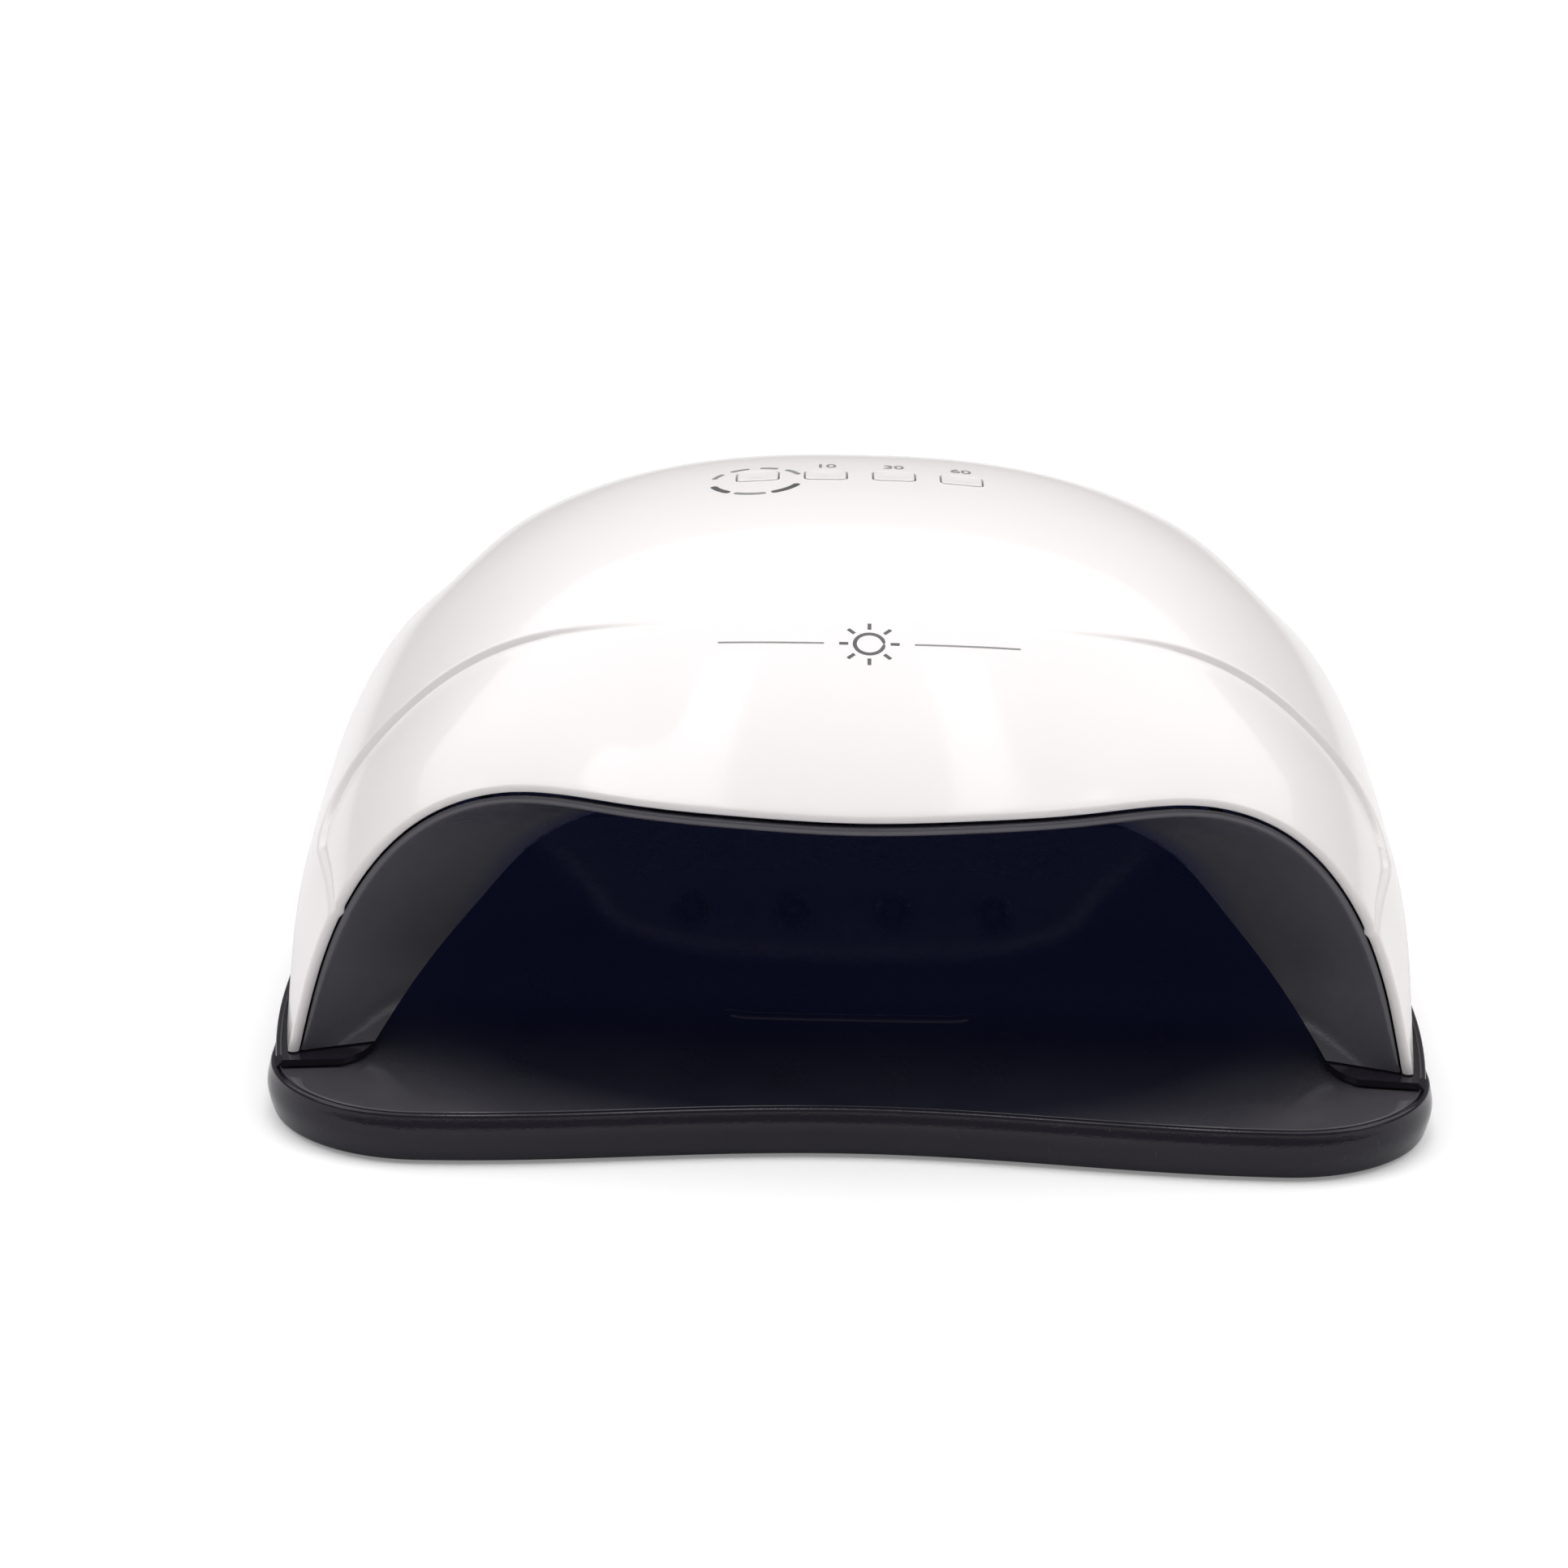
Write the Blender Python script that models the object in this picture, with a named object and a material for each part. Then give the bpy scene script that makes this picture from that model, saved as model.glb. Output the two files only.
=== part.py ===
"""Domed UV and LED curing lamp for gel coats, standing on a lift-off floor tray.

A white moulded dome covers a dark liner, and both stand on a black horseshoe frame. The frame
sits by magnets on a tray made of a pan and a floor plate. Four keys on top press switches.
Sizes are in millimetres, and MM turns them into Blender's metres.
The front is -Y, the right side is +X, and the feet stand on Z = 0.
"""
import math

import bmesh
import bpy
import numpy as np
from mathutils import Matrix

MM = 0.001
GAP = 0.3                    # clearance between neighbouring pieces

# Heights of the stack, from the table up.
FOOT_TOP = 1.2               # the feet sit in shallow recesses of the pan
PAN_BOTTOM = 0.7
PAN_LEDGE = 9.0
PAN_TOP = 10.7
FLOOR_UNDER = PAN_LEDGE + GAP
FLOOR_TOP = 10.7             # level with the rim of the pan round it
FLOOR_INSET = 2.2
FRAME_BOTTOM = FLOOR_TOP + 0.55
FRAME_TOP = 12.6
RIM_Z = FRAME_TOP + GAP      # lower edge of the dome and the liner
DOME_TOP = 110.8

# Tray outline.
TRAY_HALF_WIDTH = 116.6
CORNER_RADIUS = 32.0
CORNER_X = TRAY_HALF_WIDTH - CORNER_RADIUS
CORNER_Y = -79.0
FRONT_MIDDLE_Y = -103.6      # the front edge is waisted for the wrist
REAR_CENTRE_Y = -15.0
REAR_DEPTH = 126.0
REAR_POWER = 2.5             # how square the rear of the tray and the dome is, seen from above
RIB_ROUTE = [(-25.6, -51.6), (-23.6, -53.8), (-19.0, -54.8), (0.0, -55.0),
             (19.0, -54.8), (23.6, -53.8), (25.6, -51.6)]
RIB_PROFILE = [(-1.4, -0.5), (-1.2, 0.35), (-0.5, 0.85), (0.5, 0.85), (1.2, 0.35), (1.4, -0.5)]

# Dome.
WALL = 2.2
DOME_HALF_WIDTH = 114.9
DOME_REAR_Y = 109.4
FRONT_TUCK = 0.0252          # how much narrower the dome is at its front
TUCK_FROM_Y = -50.0
DOME_PEAK_Y = 2.0
DOME_FRONT_REACH = 118.0     # how far ahead of the peak the crown would meet the rim plane
DOME_FRONT_Y = -90.0         # where the hood edge takes over from the arches
SIDE_SHARE, TOP_SHARE = 0.14, 0.42       # shares of the length where the hood edge fades out
ARCH_POWER = 2.45            # how square a cross-section of the dome is
HOOD_EDGE = [(112.0, RIM_Z), (110.3, 20.4), (107.2, 32.0), (102.6, 43.8), (95.4, 55.5),
             (84.2, 65.9), (68.0, 71.8), (45.0, 70.8), (22.0, 69.3), (0.0, 68.6)]
VISOR_STEP = 1.2             # the brow line is a step of this height
VISOR_LENGTH = 0.125         # share of the length that the visor takes, from the hood edge
VISOR_LOW, VISOR_HIGH = 19.0, 70.0       # degrees up the arch where the step starts and ends
VISOR_FADE = 26.0
VISOR_CORNER = 0.045
DEGREES_PER_LENGTH = 150.0   # makes a step along the arch as wide as one along the length
SCOOP_PLACE = (88.5, 26.0, 83.5)
SCOOP_REACH = (14.0, 22.0, 9.0)
SCOOP_DEPTH = 1.8
HOOD_TIP_Y, HOOD_BOW = -84.0, 12.0       # the hood edge bows forward in the middle
DOME_ROWS, DOME_COLUMNS = 24, 34
FRAME_CLEAR = 0.45           # room between the dome and the upstand of the frame
UPSTAND_WALL = 1.15

# Liner of the curing chamber.
LINER_WALL = 1.8
MOUTH_EDGE = [(95.3, RIM_Z), (85.9, 25.9), (73.6, 40.1), (66.0, 48.2),
              (57.5, 53.5), (47.0, 57.0), (24.0, 59.4), (0.0, 60.0)]
MOUTH_TOP_Y = -58.0
MOUTH_FOOT_Y = -78.0
CHAMBER_REAR_Y = 78.0
CHAMBER_POWER = 8            # how square the rear of the chamber is
FLARE_ROWS, CHAMBER_ROWS, LINER_COLUMNS = 3, 11, 31

# Keys, from the left.
KEY_X = (-21.4, -6.9, 7.6, 22.0)
KEY_Y = 8.0
KEY_WIDTH, KEY_DEPTH = 8.6, 7.2
KEY_NEAR_CORNER, KEY_FAR_CORNER = 1.2, 1.6
KEY_CLEAR = 0.35
KEY_TRAVEL = 0.5
KEY_PROUD = 0.35
BOARD_THICKNESS = 1.6
CONTROL_BOARD_TOP = 99.1
SWITCH_HEIGHT, PLUNGER_HEIGHT = 3.5, 0.8

# Fixings: places on the right side, and each has a mirror image on the left.
FOOT_RADIUS = 8.0
FOOT_PLACES = [(88.0, -84.0), (68.0, 72.0)]
PAN_SCREW_PLACES = [(52.0, -76.0), (50.0, 88.0)]
MAGNET_PLACES = [(105.5, -62.0), (104.5, 22.0)]
FRAME_SCREW_PLACES = [(105.5, -25.0), (62.0, 89.0)]
SHELL_BOSS_TOPS = [44.0, 41.0]
BOARD_SCREW_X, BOARD_SCREW_Y = 35.0, 8.0
PAN_BOSS_TOP = 6.0

# Rear of the housing.
INLET_Z = 26.0
INLET_Y = 96.5               # front face of the inlet's barrel
DRIVER_Y = 90.0
VENT_FIRST_X, VENT_PITCH, VENT_COUNT = 26.0, 6.0, 5
VENT_HALF_WIDTH, VENT_LOW, VENT_HIGH = 1.4, 24.0, 42.0
ALONG_Y = Matrix.Rotation(-math.pi / 2, 4, "X")      # lays +Z along +Y

# Lamps.
ROOF_LAMPS = [(x, y) for x in (-34.0, -12.0, 12.0, 34.0) for y in (-28.0, 5.0, 38.0)]
SIDE_LAMP_Y = (-5.0, 20.0, 45.0)
SIDE_WALL_POINT = (71.2, 42.7)           # where a side lamp looks through the sloping wall
SIDE_WALL_NORMAL = (0.735, 0.678)
REAR_LAMP_X = (-36.0, -12.0, 12.0, 36.0)
REAR_LAMP_Z = 36.0
LAMP_RADIUS, LAMP_HOLE_RADIUS = 3.4, 4.3
SENSOR_PLACES = [(22.0, -47.0)]


def clear_scene():
    for old in list(bpy.data.objects):
        bpy.data.objects.remove(old, do_unlink=True)


def finish(name, colour, roughness, metallic=0.0):
    """One Principled material for a sub-part."""
    material = bpy.data.materials.new(name)
    material.use_nodes = True
    shader = material.node_tree.nodes["Principled BSDF"]
    shader.inputs["Base Color"].default_value = (*colour, 1.0)
    shader.inputs["Roughness"].default_value = roughness
    shader.inputs["Metallic"].default_value = metallic
    material.diffuse_color = (*colour, 1.0)
    return material


# Curves and sections

def spline(points, fractions):
    """Natural cubic spline through points, read at fractions of its chord length."""
    points = np.asarray(points, float)
    knots = np.concatenate([[0.0], np.cumsum(np.linalg.norm(np.diff(points, axis=0), axis=1))])
    gaps = np.diff(knots)
    count = len(points)
    system = np.eye(count)
    target = np.zeros_like(points)
    for i in range(1, count - 1):
        system[i, i - 1:i + 2] = gaps[i - 1], 2 * (gaps[i - 1] + gaps[i]), gaps[i]
        slopes = (points[i + 1] - points[i]) / gaps[i], (points[i] - points[i - 1]) / gaps[i - 1]
        target[i] = 6 * (slopes[0] - slopes[1])
    bend = np.linalg.solve(system, target)
    at = np.asarray(fractions, float) * knots[-1]
    k = np.clip(np.searchsorted(knots, at, side="right") - 1, 0, count - 2)
    ahead = (knots[k + 1] - at)[..., None]
    behind = (at - knots[k])[..., None]
    gap = gaps[k][..., None]
    cubic = (bend[k] * ahead ** 3 + bend[k + 1] * behind ** 3) / (6 * gap)
    return (cubic + (points[k] / gap - bend[k] * gap / 6) * ahead
            + (points[k + 1] / gap - bend[k + 1] * gap / 6) * behind)


def mirrored(half):
    """Full outline from its right half, which ends on the centre line."""
    return half + [(-x, *rest) for x, *rest in half[-2::-1]]


def even(path, count):
    """The path read again at count points an equal length apart."""
    path = np.asarray(path, float)
    length = np.concatenate([[0.0], np.cumsum(np.linalg.norm(np.diff(path, axis=0), axis=1))])
    at = np.linspace(0.0, length[-1], count)
    return np.stack([np.interp(at, length, path[:, k]) for k in range(path.shape[1])], axis=1)


def smoothstep(value):
    value = np.clip(value, 0.0, 1.0)
    return value * value * (3 - 2 * value)


def tray_outline(inset, z):
    """Closed outline of the tray: waisted front, round corners and a full rear."""
    along = np.linspace(0, 1, 14)[:-1]
    swell = (1 - np.cos(math.pi * along)) / 2
    corner_front = CORNER_Y - CORNER_RADIUS
    front = np.stack([CORNER_X * along,
                      FRONT_MIDDLE_Y + (corner_front - FRONT_MIDDLE_Y) * swell + inset], axis=1)
    turn = np.linspace(-math.pi / 2, 0, 11)
    corner = np.stack([CORNER_X + (CORNER_RADIUS - inset) * np.cos(turn),
                       CORNER_Y + (CORNER_RADIUS - inset) * np.sin(turn)], axis=1)
    turn = np.linspace(0, math.pi / 2, 19)
    power = 2 / REAR_POWER
    rear = np.stack([(TRAY_HALF_WIDTH - inset) * np.cos(turn) ** power,
                     REAR_CENTRE_Y + (REAR_DEPTH - inset) * np.sin(turn) ** power], axis=1)
    right = np.concatenate([front, corner, rear])
    left = right[-2:0:-1] * (-1, 1)
    loop = np.concatenate([right, left])
    return np.column_stack([loop, np.full(len(loop), z)])


# Dome surface

def dome_half_width(y):
    """Half width at the rim plane: nearly straight ahead, a superellipse behind."""
    rear_reach = DOME_REAR_Y - REAR_CENTRE_Y
    behind = np.abs((y - REAR_CENTRE_Y) / rear_reach) ** REAR_POWER
    rear = np.clip(1 - behind, 0, None) ** (1 / REAR_POWER)
    tuck = np.clip(TUCK_FROM_Y - y, 0, None) / (TUCK_FROM_Y - DOME_FRONT_Y)
    return DOME_HALF_WIDTH * np.where(y < REAR_CENTRE_Y, 1 - FRONT_TUCK * tuck ** 2, rear)


def dome_crown(y):
    """Height over the rim plane on the centre line, with its peak at DOME_PEAK_Y."""
    ahead = np.clip(1 - np.abs((y - DOME_PEAK_Y) / DOME_FRONT_REACH) ** 2, 0, None) ** 0.5
    rear_reach = DOME_REAR_Y - DOME_PEAK_Y
    behind = np.clip(1 - np.abs((y - DOME_PEAK_Y) / rear_reach) ** 2.3, 0, None) ** (1 / 2.3)
    return (DOME_TOP - RIM_Z) * np.where(y < DOME_PEAK_Y, ahead, behind)


def dome_arch(theta, y):
    """Cross-section at y: a superellipse standing on the rim plane."""
    across, up = np.cos(theta), np.abs(np.sin(theta))
    x = dome_half_width(y) * np.sign(across) * np.abs(across) ** (2 / ARCH_POWER)
    return np.stack([x, y, RIM_Z + dome_crown(y) * up ** (2 / ARCH_POWER)], axis=-1)


def hood_edge(theta):
    """Front edge of the hood, bowed forward in the middle."""
    edge = spline(mirrored(HOOD_EDGE), theta / math.pi)
    bow = np.clip(1 - (edge[..., 0] / HOOD_EDGE[0][0]) ** 2, 0, 1) ** 1.3
    return np.stack([edge[..., 0], HOOD_TIP_Y - HOOD_BOW * bow, edge[..., 1]], axis=-1)


def edge_outward(theta):
    """Outward direction of the hood edge in its own upright plane."""
    step = 0.002
    behind = hood_edge(np.clip(theta - step, 0, math.pi))
    along = hood_edge(np.clip(theta + step, 0, math.pi)) - behind
    out = np.stack([along[:, 2], np.zeros(len(theta)), -along[:, 0]], axis=1)
    return out / np.linalg.norm(out, axis=1, keepdims=True)


def surface_normals(grid):
    """Outward normals of a dome-like grid whose last row is a pole at the rear."""
    normals = np.cross(np.gradient(grid, axis=0), np.gradient(grid, axis=1))
    normals[:, (0, -1), 2] = 0.0
    normals[-1] = (0.0, 1.0, 0.0)
    return normals / np.linalg.norm(normals, axis=-1, keepdims=True)


def dome_features(grid, theta, t):
    """Height of the visor step and the grip scoops, along the surface normal."""
    degrees = np.degrees(np.minimum(theta, math.pi - theta))
    short_t = np.clip(VISOR_CORNER - (VISOR_LENGTH - t), 0, None)
    lift = (degrees - VISOR_LOW) / DEGREES_PER_LENGTH
    inside = VISOR_CORNER - np.hypot(short_t, np.clip(VISOR_CORNER - lift, 0, None))
    fade = smoothstep((VISOR_HIGH - degrees) / VISOR_FADE)
    step = -VISOR_STEP * smoothstep(inside / 0.02) * fade * np.clip(t / 0.11, 0, 1)
    away = np.stack([np.abs(grid[..., 0]), grid[..., 1], grid[..., 2]], axis=-1) - SCOOP_PLACE
    scoop = -SCOOP_DEPTH * np.exp(-np.sum((away / SCOOP_REACH) ** 2, axis=-1))
    return step + scoop


def dome_grids():
    """Outer and inner surface of the dome, front edge first and the rear pole last."""
    t, theta = np.meshgrid(np.linspace(0, 1, DOME_ROWS), np.linspace(0, math.pi, DOME_COLUMNS),
                           indexing="ij")
    y = DOME_FRONT_Y + (DOME_REAR_Y - DOME_FRONT_Y) * np.sin(t * math.pi / 2)
    degrees = np.degrees(np.minimum(theta, math.pi - theta))
    share = SIDE_SHARE + (TOP_SHARE - SIDE_SHARE) * smoothstep((degrees - 30.0) / 50.0)
    pull = smoothstep(1 - t / share)[..., None]
    front_arch = dome_arch(theta, np.full_like(theta, DOME_FRONT_Y))
    grid = dome_arch(theta, y) + pull * (hood_edge(theta) - front_arch)
    normals = surface_normals(grid)
    outer = grid + normals * dome_features(grid, theta, t)[..., None]
    outer[-1] = (0.0, DOME_REAR_Y, RIM_Z)
    return outer, outer - WALL * normals


def dome_height(x, y):
    """Height of the plain dome over a place near its top."""
    across = np.abs(x / dome_half_width(np.array(y, float))) ** ARCH_POWER
    return float(RIM_Z + dome_crown(np.array(y, float)) * (1 - across) ** (1 / ARCH_POWER))


# Mesh building

def new_object(name, mesh, material):
    item = bpy.data.objects.new(name, mesh)
    bpy.context.collection.objects.link(item)
    if material:
        mesh.materials.append(material)
    return item


def mesh_from(name, points, faces, material=None):
    """Closed mesh from millimetre points, with its faces turned outwards."""
    mesh = bpy.data.meshes.new(name)
    mesh.from_pydata([tuple(float(v) * MM for v in p) for p in points], [], faces)
    shape = bmesh.new()
    shape.from_mesh(mesh)
    bmesh.ops.recalc_face_normals(shape, faces=shape.faces)
    shape.to_mesh(mesh)
    shape.free()
    return new_object(name, mesh, material)


def shade(item, angle=35.0):
    item.data.shade_smooth()
    item.data.set_sharp_from_angle(angle=math.radians(angle))
    return item


def loft(name, sections, material=None):
    """Solid through closed sections of equal point counts, capped at both ends."""
    sections = np.asarray(sections, float)
    count, around = sections.shape[:2]
    faces = [(i * around + j, i * around + (j + 1) % around,
              (i + 1) * around + (j + 1) % around, (i + 1) * around + j)
             for i in range(count - 1) for j in range(around)]
    faces.append(tuple(range(around)))
    faces.append(tuple(range((count - 1) * around, count * around)))
    return mesh_from(name, sections.reshape(-1, 3), faces, material)


def hood_solid(name, outer, inner, material):
    """Solid between two grids that share a front edge, two feet and a rear pole."""
    rows, columns = outer.shape[:2]
    half = (rows - 1) * columns + 1

    def at(side, i, j):
        return side * half + (half - 1 if i == rows - 1 else i * columns + j)

    points = np.concatenate([np.concatenate([grid[:-1].reshape(-1, 3), grid[-1, :1]])
                             for grid in (outer, inner)])
    faces = []
    for side in (0, 1):
        for i in range(rows - 1):
            for j in range(columns - 1):
                corners = [at(side, i, j), at(side, i, j + 1),
                           at(side, i + 1, j + 1), at(side, i + 1, j)]
                faces.append(tuple(dict.fromkeys(corners)))
    for j in range(columns - 1):
        faces.append((at(0, 0, j), at(0, 0, j + 1), at(1, 0, j + 1), at(1, 0, j)))
    for j in (0, columns - 1):
        for i in range(rows - 1):
            faces.append((at(0, i, j), at(0, i + 1, j), at(1, i + 1, j), at(1, i, j)))
    return mesh_from(name, points, faces, material)


def add_cylinder(shape, radius, low, high, place, turn=None, sides=12):
    """Cylinder along Z from low to high, turned and then put at place."""
    matrix = (Matrix.Translation([v * MM for v in place]) @ (turn or Matrix())
              @ Matrix.Translation((0, 0, (low + high) / 2 * MM)))
    bmesh.ops.create_cone(shape, cap_ends=True, segments=sides, radius1=radius * MM,
                          radius2=radius * MM, depth=(high - low) * MM, matrix=matrix)


def add_box(shape, low, high, place=(0, 0, 0), turn=None):
    size = [(b - a) * MM for a, b in zip(low, high)]
    middle = [(a + b) / 2 * MM for a, b in zip(low, high)]
    matrix = (Matrix.Translation([v * MM for v in place]) @ (turn or Matrix())
              @ Matrix.Translation(middle) @ Matrix.Diagonal((*size, 1)))
    bmesh.ops.create_cube(shape, size=1.0, matrix=matrix)


def from_shape(name, shape, material=None):
    mesh = bpy.data.meshes.new(name)
    shape.to_mesh(mesh)
    shape.free()
    return new_object(name, mesh, material)


def cylinder(name, radius, low, high, place, material=None, turn=None, sides=16):
    shape = bmesh.new()
    add_cylinder(shape, radius, low, high, place, turn, sides)
    return shade(from_shape(name, shape, material))


def combine(item, tool, operation):
    """Cut a tool from an item, or weld it on, with a Boolean modifier."""
    tool.hide_render = True
    tool.display_type = "WIRE"
    step = item.modifiers.new(operation.title(), "BOOLEAN")
    step.operation = operation
    step.object = tool
    return item


def tube(name, points, radius, material):
    """Round lead along a smooth curve through its route's points."""
    route = spline(points, np.linspace(0, 1, 3 * len(points)))
    curve = bpy.data.curves.new(name, "CURVE")
    curve.dimensions = "3D"
    curve.bevel_depth = radius * MM
    curve.bevel_resolution = 1
    curve.use_fill_caps = True
    line = curve.splines.new("POLY")
    line.points.add(len(route) - 1)
    for point, place in zip(line.points, route):
        point.co = (*(float(v) * MM for v in place), 1.0)
    item = bpy.data.objects.new(name, curve)
    bpy.context.collection.objects.link(item)
    curve.materials.append(material)
    return item


def both_sides(places):
    """Each place and its mirror image, with a plain name for each."""
    words = ("front", "rear")
    for row, (x, y) in enumerate(places):
        for side, sign in (("left", -1), ("right", 1)):
            yield f"{words[row]}_{side}", sign * x, y, row


# Tray

def make_base_pan(material):
    """Open pan: bulging outer wall, rounded rim, ledge for the floor plate, inner wall."""
    profile = [(2.6, PAN_BOTTOM), (1.1, PAN_BOTTOM + 0.8), (0.3, 4.0), (0.0, 6.4), (0.5, 9.2),
               (1.1, PAN_TOP), (1.9, PAN_TOP), (1.9, PAN_LEDGE), (3.2, PAN_LEDGE),
               (3.8, PAN_BOTTOM + 2.4)]
    pan = loft("base_pan", [tray_outline(inset, z) for inset, z in profile], material)
    bosses, holes = bmesh.new(), bmesh.new()
    for _, x, y, _ in both_sides(MAGNET_PLACES):
        add_cylinder(bosses, 4.6, PAN_BOTTOM + 1.5, PAN_BOSS_TOP - GAP, (x, y, 0))
    for _, x, y, _ in both_sides(PAN_SCREW_PLACES):
        add_cylinder(bosses, 5.0, PAN_BOTTOM + 1.5, PAN_BOSS_TOP, (x, y, 0))
        add_cylinder(holes, 3.3, 0.0, 4.3, (x, y, 0))
    for _, x, y, _ in both_sides(FOOT_PLACES):
        add_cylinder(holes, FOOT_RADIUS + GAP, 0.0, FOOT_TOP + GAP, (x, y, 0), sides=16)
    combine(pan, from_shape("pan_bosses", bosses), "UNION")
    combine(pan, from_shape("pan_recesses", holes), "DIFFERENCE")
    shafts = bmesh.new()
    for _, x, y, _ in both_sides(PAN_SCREW_PLACES):
        add_cylinder(shafts, 1.6, 3.0, PAN_TOP, (x, y, 0), sides=12)
    combine(pan, from_shape("pan_screw_holes", shafts), "DIFFERENCE")
    return shade(pan)


def make_floor_plate(material):
    """Plate inside the pan's rim, with a low rib for the fingertips and screw bosses."""
    sections = [tray_outline(FLOOR_INSET, FLOOR_UNDER), tray_outline(FLOOR_INSET, FLOOR_TOP - 0.3),
                tray_outline(FLOOR_INSET + 0.3, FLOOR_TOP)]
    plate = loft("floor_plate", sections, material)
    rib_path = spline(RIB_ROUTE, np.linspace(0, 1, 19))
    across = np.gradient(rib_path, axis=0)
    across = np.stack([-across[:, 1], across[:, 0]], axis=1)
    across /= np.linalg.norm(across, axis=1, keepdims=True)
    rib = loft("finger_rib", [[(*(place + side * offset), FLOOR_TOP + lift)
                               for offset, lift in RIB_PROFILE]
                              for place, side in zip(rib_path, across)])
    combine(plate, rib, "UNION")
    bosses, pilots = bmesh.new(), bmesh.new()
    for _, x, y, _ in both_sides(PAN_SCREW_PLACES):
        add_cylinder(bosses, 3.2, PAN_BOSS_TOP + GAP, FLOOR_UNDER + 0.4, (x, y, 0), sides=14)
        add_cylinder(pilots, 1.4, PAN_BOSS_TOP - 1, FLOOR_TOP - 0.8, (x, y, 0), sides=10)
    combine(plate, from_shape("floor_bosses", bosses), "UNION")
    combine(plate, from_shape("floor_pilots", pilots), "DIFFERENCE")
    return shade(plate)


def make_screw(name, x, y, head_low, head_high, tip, material):
    """Pan-head screw from below, with a plain head and shank."""
    sides = 10
    turn = np.linspace(0, 2 * math.pi, sides, endpoint=False)
    steps = [(2.1, head_low), (2.7, head_low + 0.6), (2.7, head_high), (1.1, head_high + 0.01),
             (1.1, tip - 1.0), (0.4, tip)]
    sections = [np.stack([x + radius * np.cos(turn), y + radius * np.sin(turn),
                          np.full(sides, z)], axis=1) for radius, z in steps]
    return shade(loft(name, sections, material))


def make_tray(black, rubber, steel, magnet):
    make_base_pan(black)
    make_floor_plate(black)
    for label, x, y, _ in both_sides(FOOT_PLACES):
        cylinder(f"foot_{label}", FOOT_RADIUS, 0.0, FOOT_TOP, (x, y, 0), rubber)
    for label, x, y, _ in both_sides(PAN_SCREW_PLACES):
        make_screw(f"tray_screw_{label}", x, y, PAN_BOTTOM + 1.2, 4.0, FLOOR_TOP - 1.2, steel)
    for label, x, y, _ in both_sides(MAGNET_PLACES):
        cylinder(f"tray_magnet_{label}", 4.0, PAN_BOSS_TOP, PAN_LEDGE, (x, y, 0), magnet)


# Housing

def frame_paths():
    """Outer and inner edge of the horseshoe, from the front right round the rear."""
    count = 61
    spread = FRAME_CLEAR + UPSTAND_WALL
    y = np.linspace(-88.5, REAR_CENTRE_Y, 20)[:-1]
    front = np.stack([dome_half_width(y) + spread, y], axis=1)
    turn = np.linspace(0, math.pi / 2, 30)
    power = 2 / REAR_POWER
    rear_reach = DOME_REAR_Y + spread - REAR_CENTRE_Y
    rear = np.stack([(DOME_HALF_WIDTH + spread) * np.cos(turn) ** power,
                     REAR_CENTRE_Y + rear_reach * np.sin(turn) ** power], axis=1)
    right = np.concatenate([front, rear])
    outer = even(np.concatenate([right, right[-2::-1] * (-1, 1)]), count)
    power = 2 / CHAMBER_POWER
    right = np.stack([MOUTH_EDGE[0][0] * np.cos(turn) ** power, MOUTH_FOOT_Y
                      + (CHAMBER_REAR_Y - MOUTH_FOOT_Y) * np.sin(turn) ** power], axis=1)
    right = np.concatenate([[(101.0, -87.0), (97.5, -83.5)], right])
    inner = even(np.concatenate([right, right[-2::-1] * (-1, 1)]), count)
    return outer, inner


def make_base_frame(material):
    """Horseshoe plate under the dome and liner, with a low upstand outside the dome."""
    outer, inner = frame_paths()
    toward = np.gradient(outer, axis=0)
    toward = np.stack([-toward[:, 1], toward[:, 0]], axis=1)
    toward /= np.linalg.norm(toward, axis=1, keepdims=True)
    lip = outer + toward * UPSTAND_WALL
    upstand = RIM_Z + 0.9
    sections = []
    for out, low_in, top_in in zip(outer, inner, lip):
        sections.append([(*low_in, FRAME_BOTTOM), (*out, FRAME_BOTTOM), (*out, upstand),
                         (*top_in, upstand), (*top_in, FRAME_TOP), (*low_in, FRAME_TOP)])
    frame = loft("base_frame", sections, material)
    bosses, holes, shafts = bmesh.new(), bmesh.new(), bmesh.new()
    for _, x, y, _ in both_sides(FRAME_SCREW_PLACES):
        add_cylinder(bosses, 4.6, FRAME_BOTTOM + 0.5, 15.5, (x, y, 0))
        add_cylinder(holes, 3.1, 10.0, 13.8, (x, y, 0))
        add_cylinder(shafts, 1.5, 13.0, 17.0, (x, y, 0), sides=12)
    combine(frame, from_shape("frame_bosses", bosses), "UNION")
    combine(frame, from_shape("frame_counterbores", holes), "DIFFERENCE")
    combine(frame, from_shape("frame_screw_holes", shafts), "DIFFERENCE")
    return shade(frame)


def key_seat(x):
    """Place and turn of a key: on the dome, square to its surface."""
    slope = (dome_height(x + 0.5, KEY_Y) - dome_height(x - 0.5, KEY_Y))
    return (x, KEY_Y, dome_height(x, KEY_Y)), Matrix.Rotation(-math.atan(slope), 4, "Y")


def key_outline(grow):
    """Key shape: a rounded rectangle with tighter corners on its near edge."""
    half, depth = KEY_WIDTH / 2 + grow, KEY_DEPTH / 2 + grow
    near, far = KEY_NEAR_CORNER, KEY_FAR_CORNER
    points = []
    for centre_x, centre_y, radius, start in ((half - near, -depth + near, near, -90),
                                              (half - far, depth - far, far, 0)):
        for angle in np.radians(np.linspace(start, start + 90, 4)):
            points.append((centre_x + radius * math.cos(angle),
                           centre_y + radius * math.sin(angle)))
    return points + [(-x, y) for x, y in reversed(points)]


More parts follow.
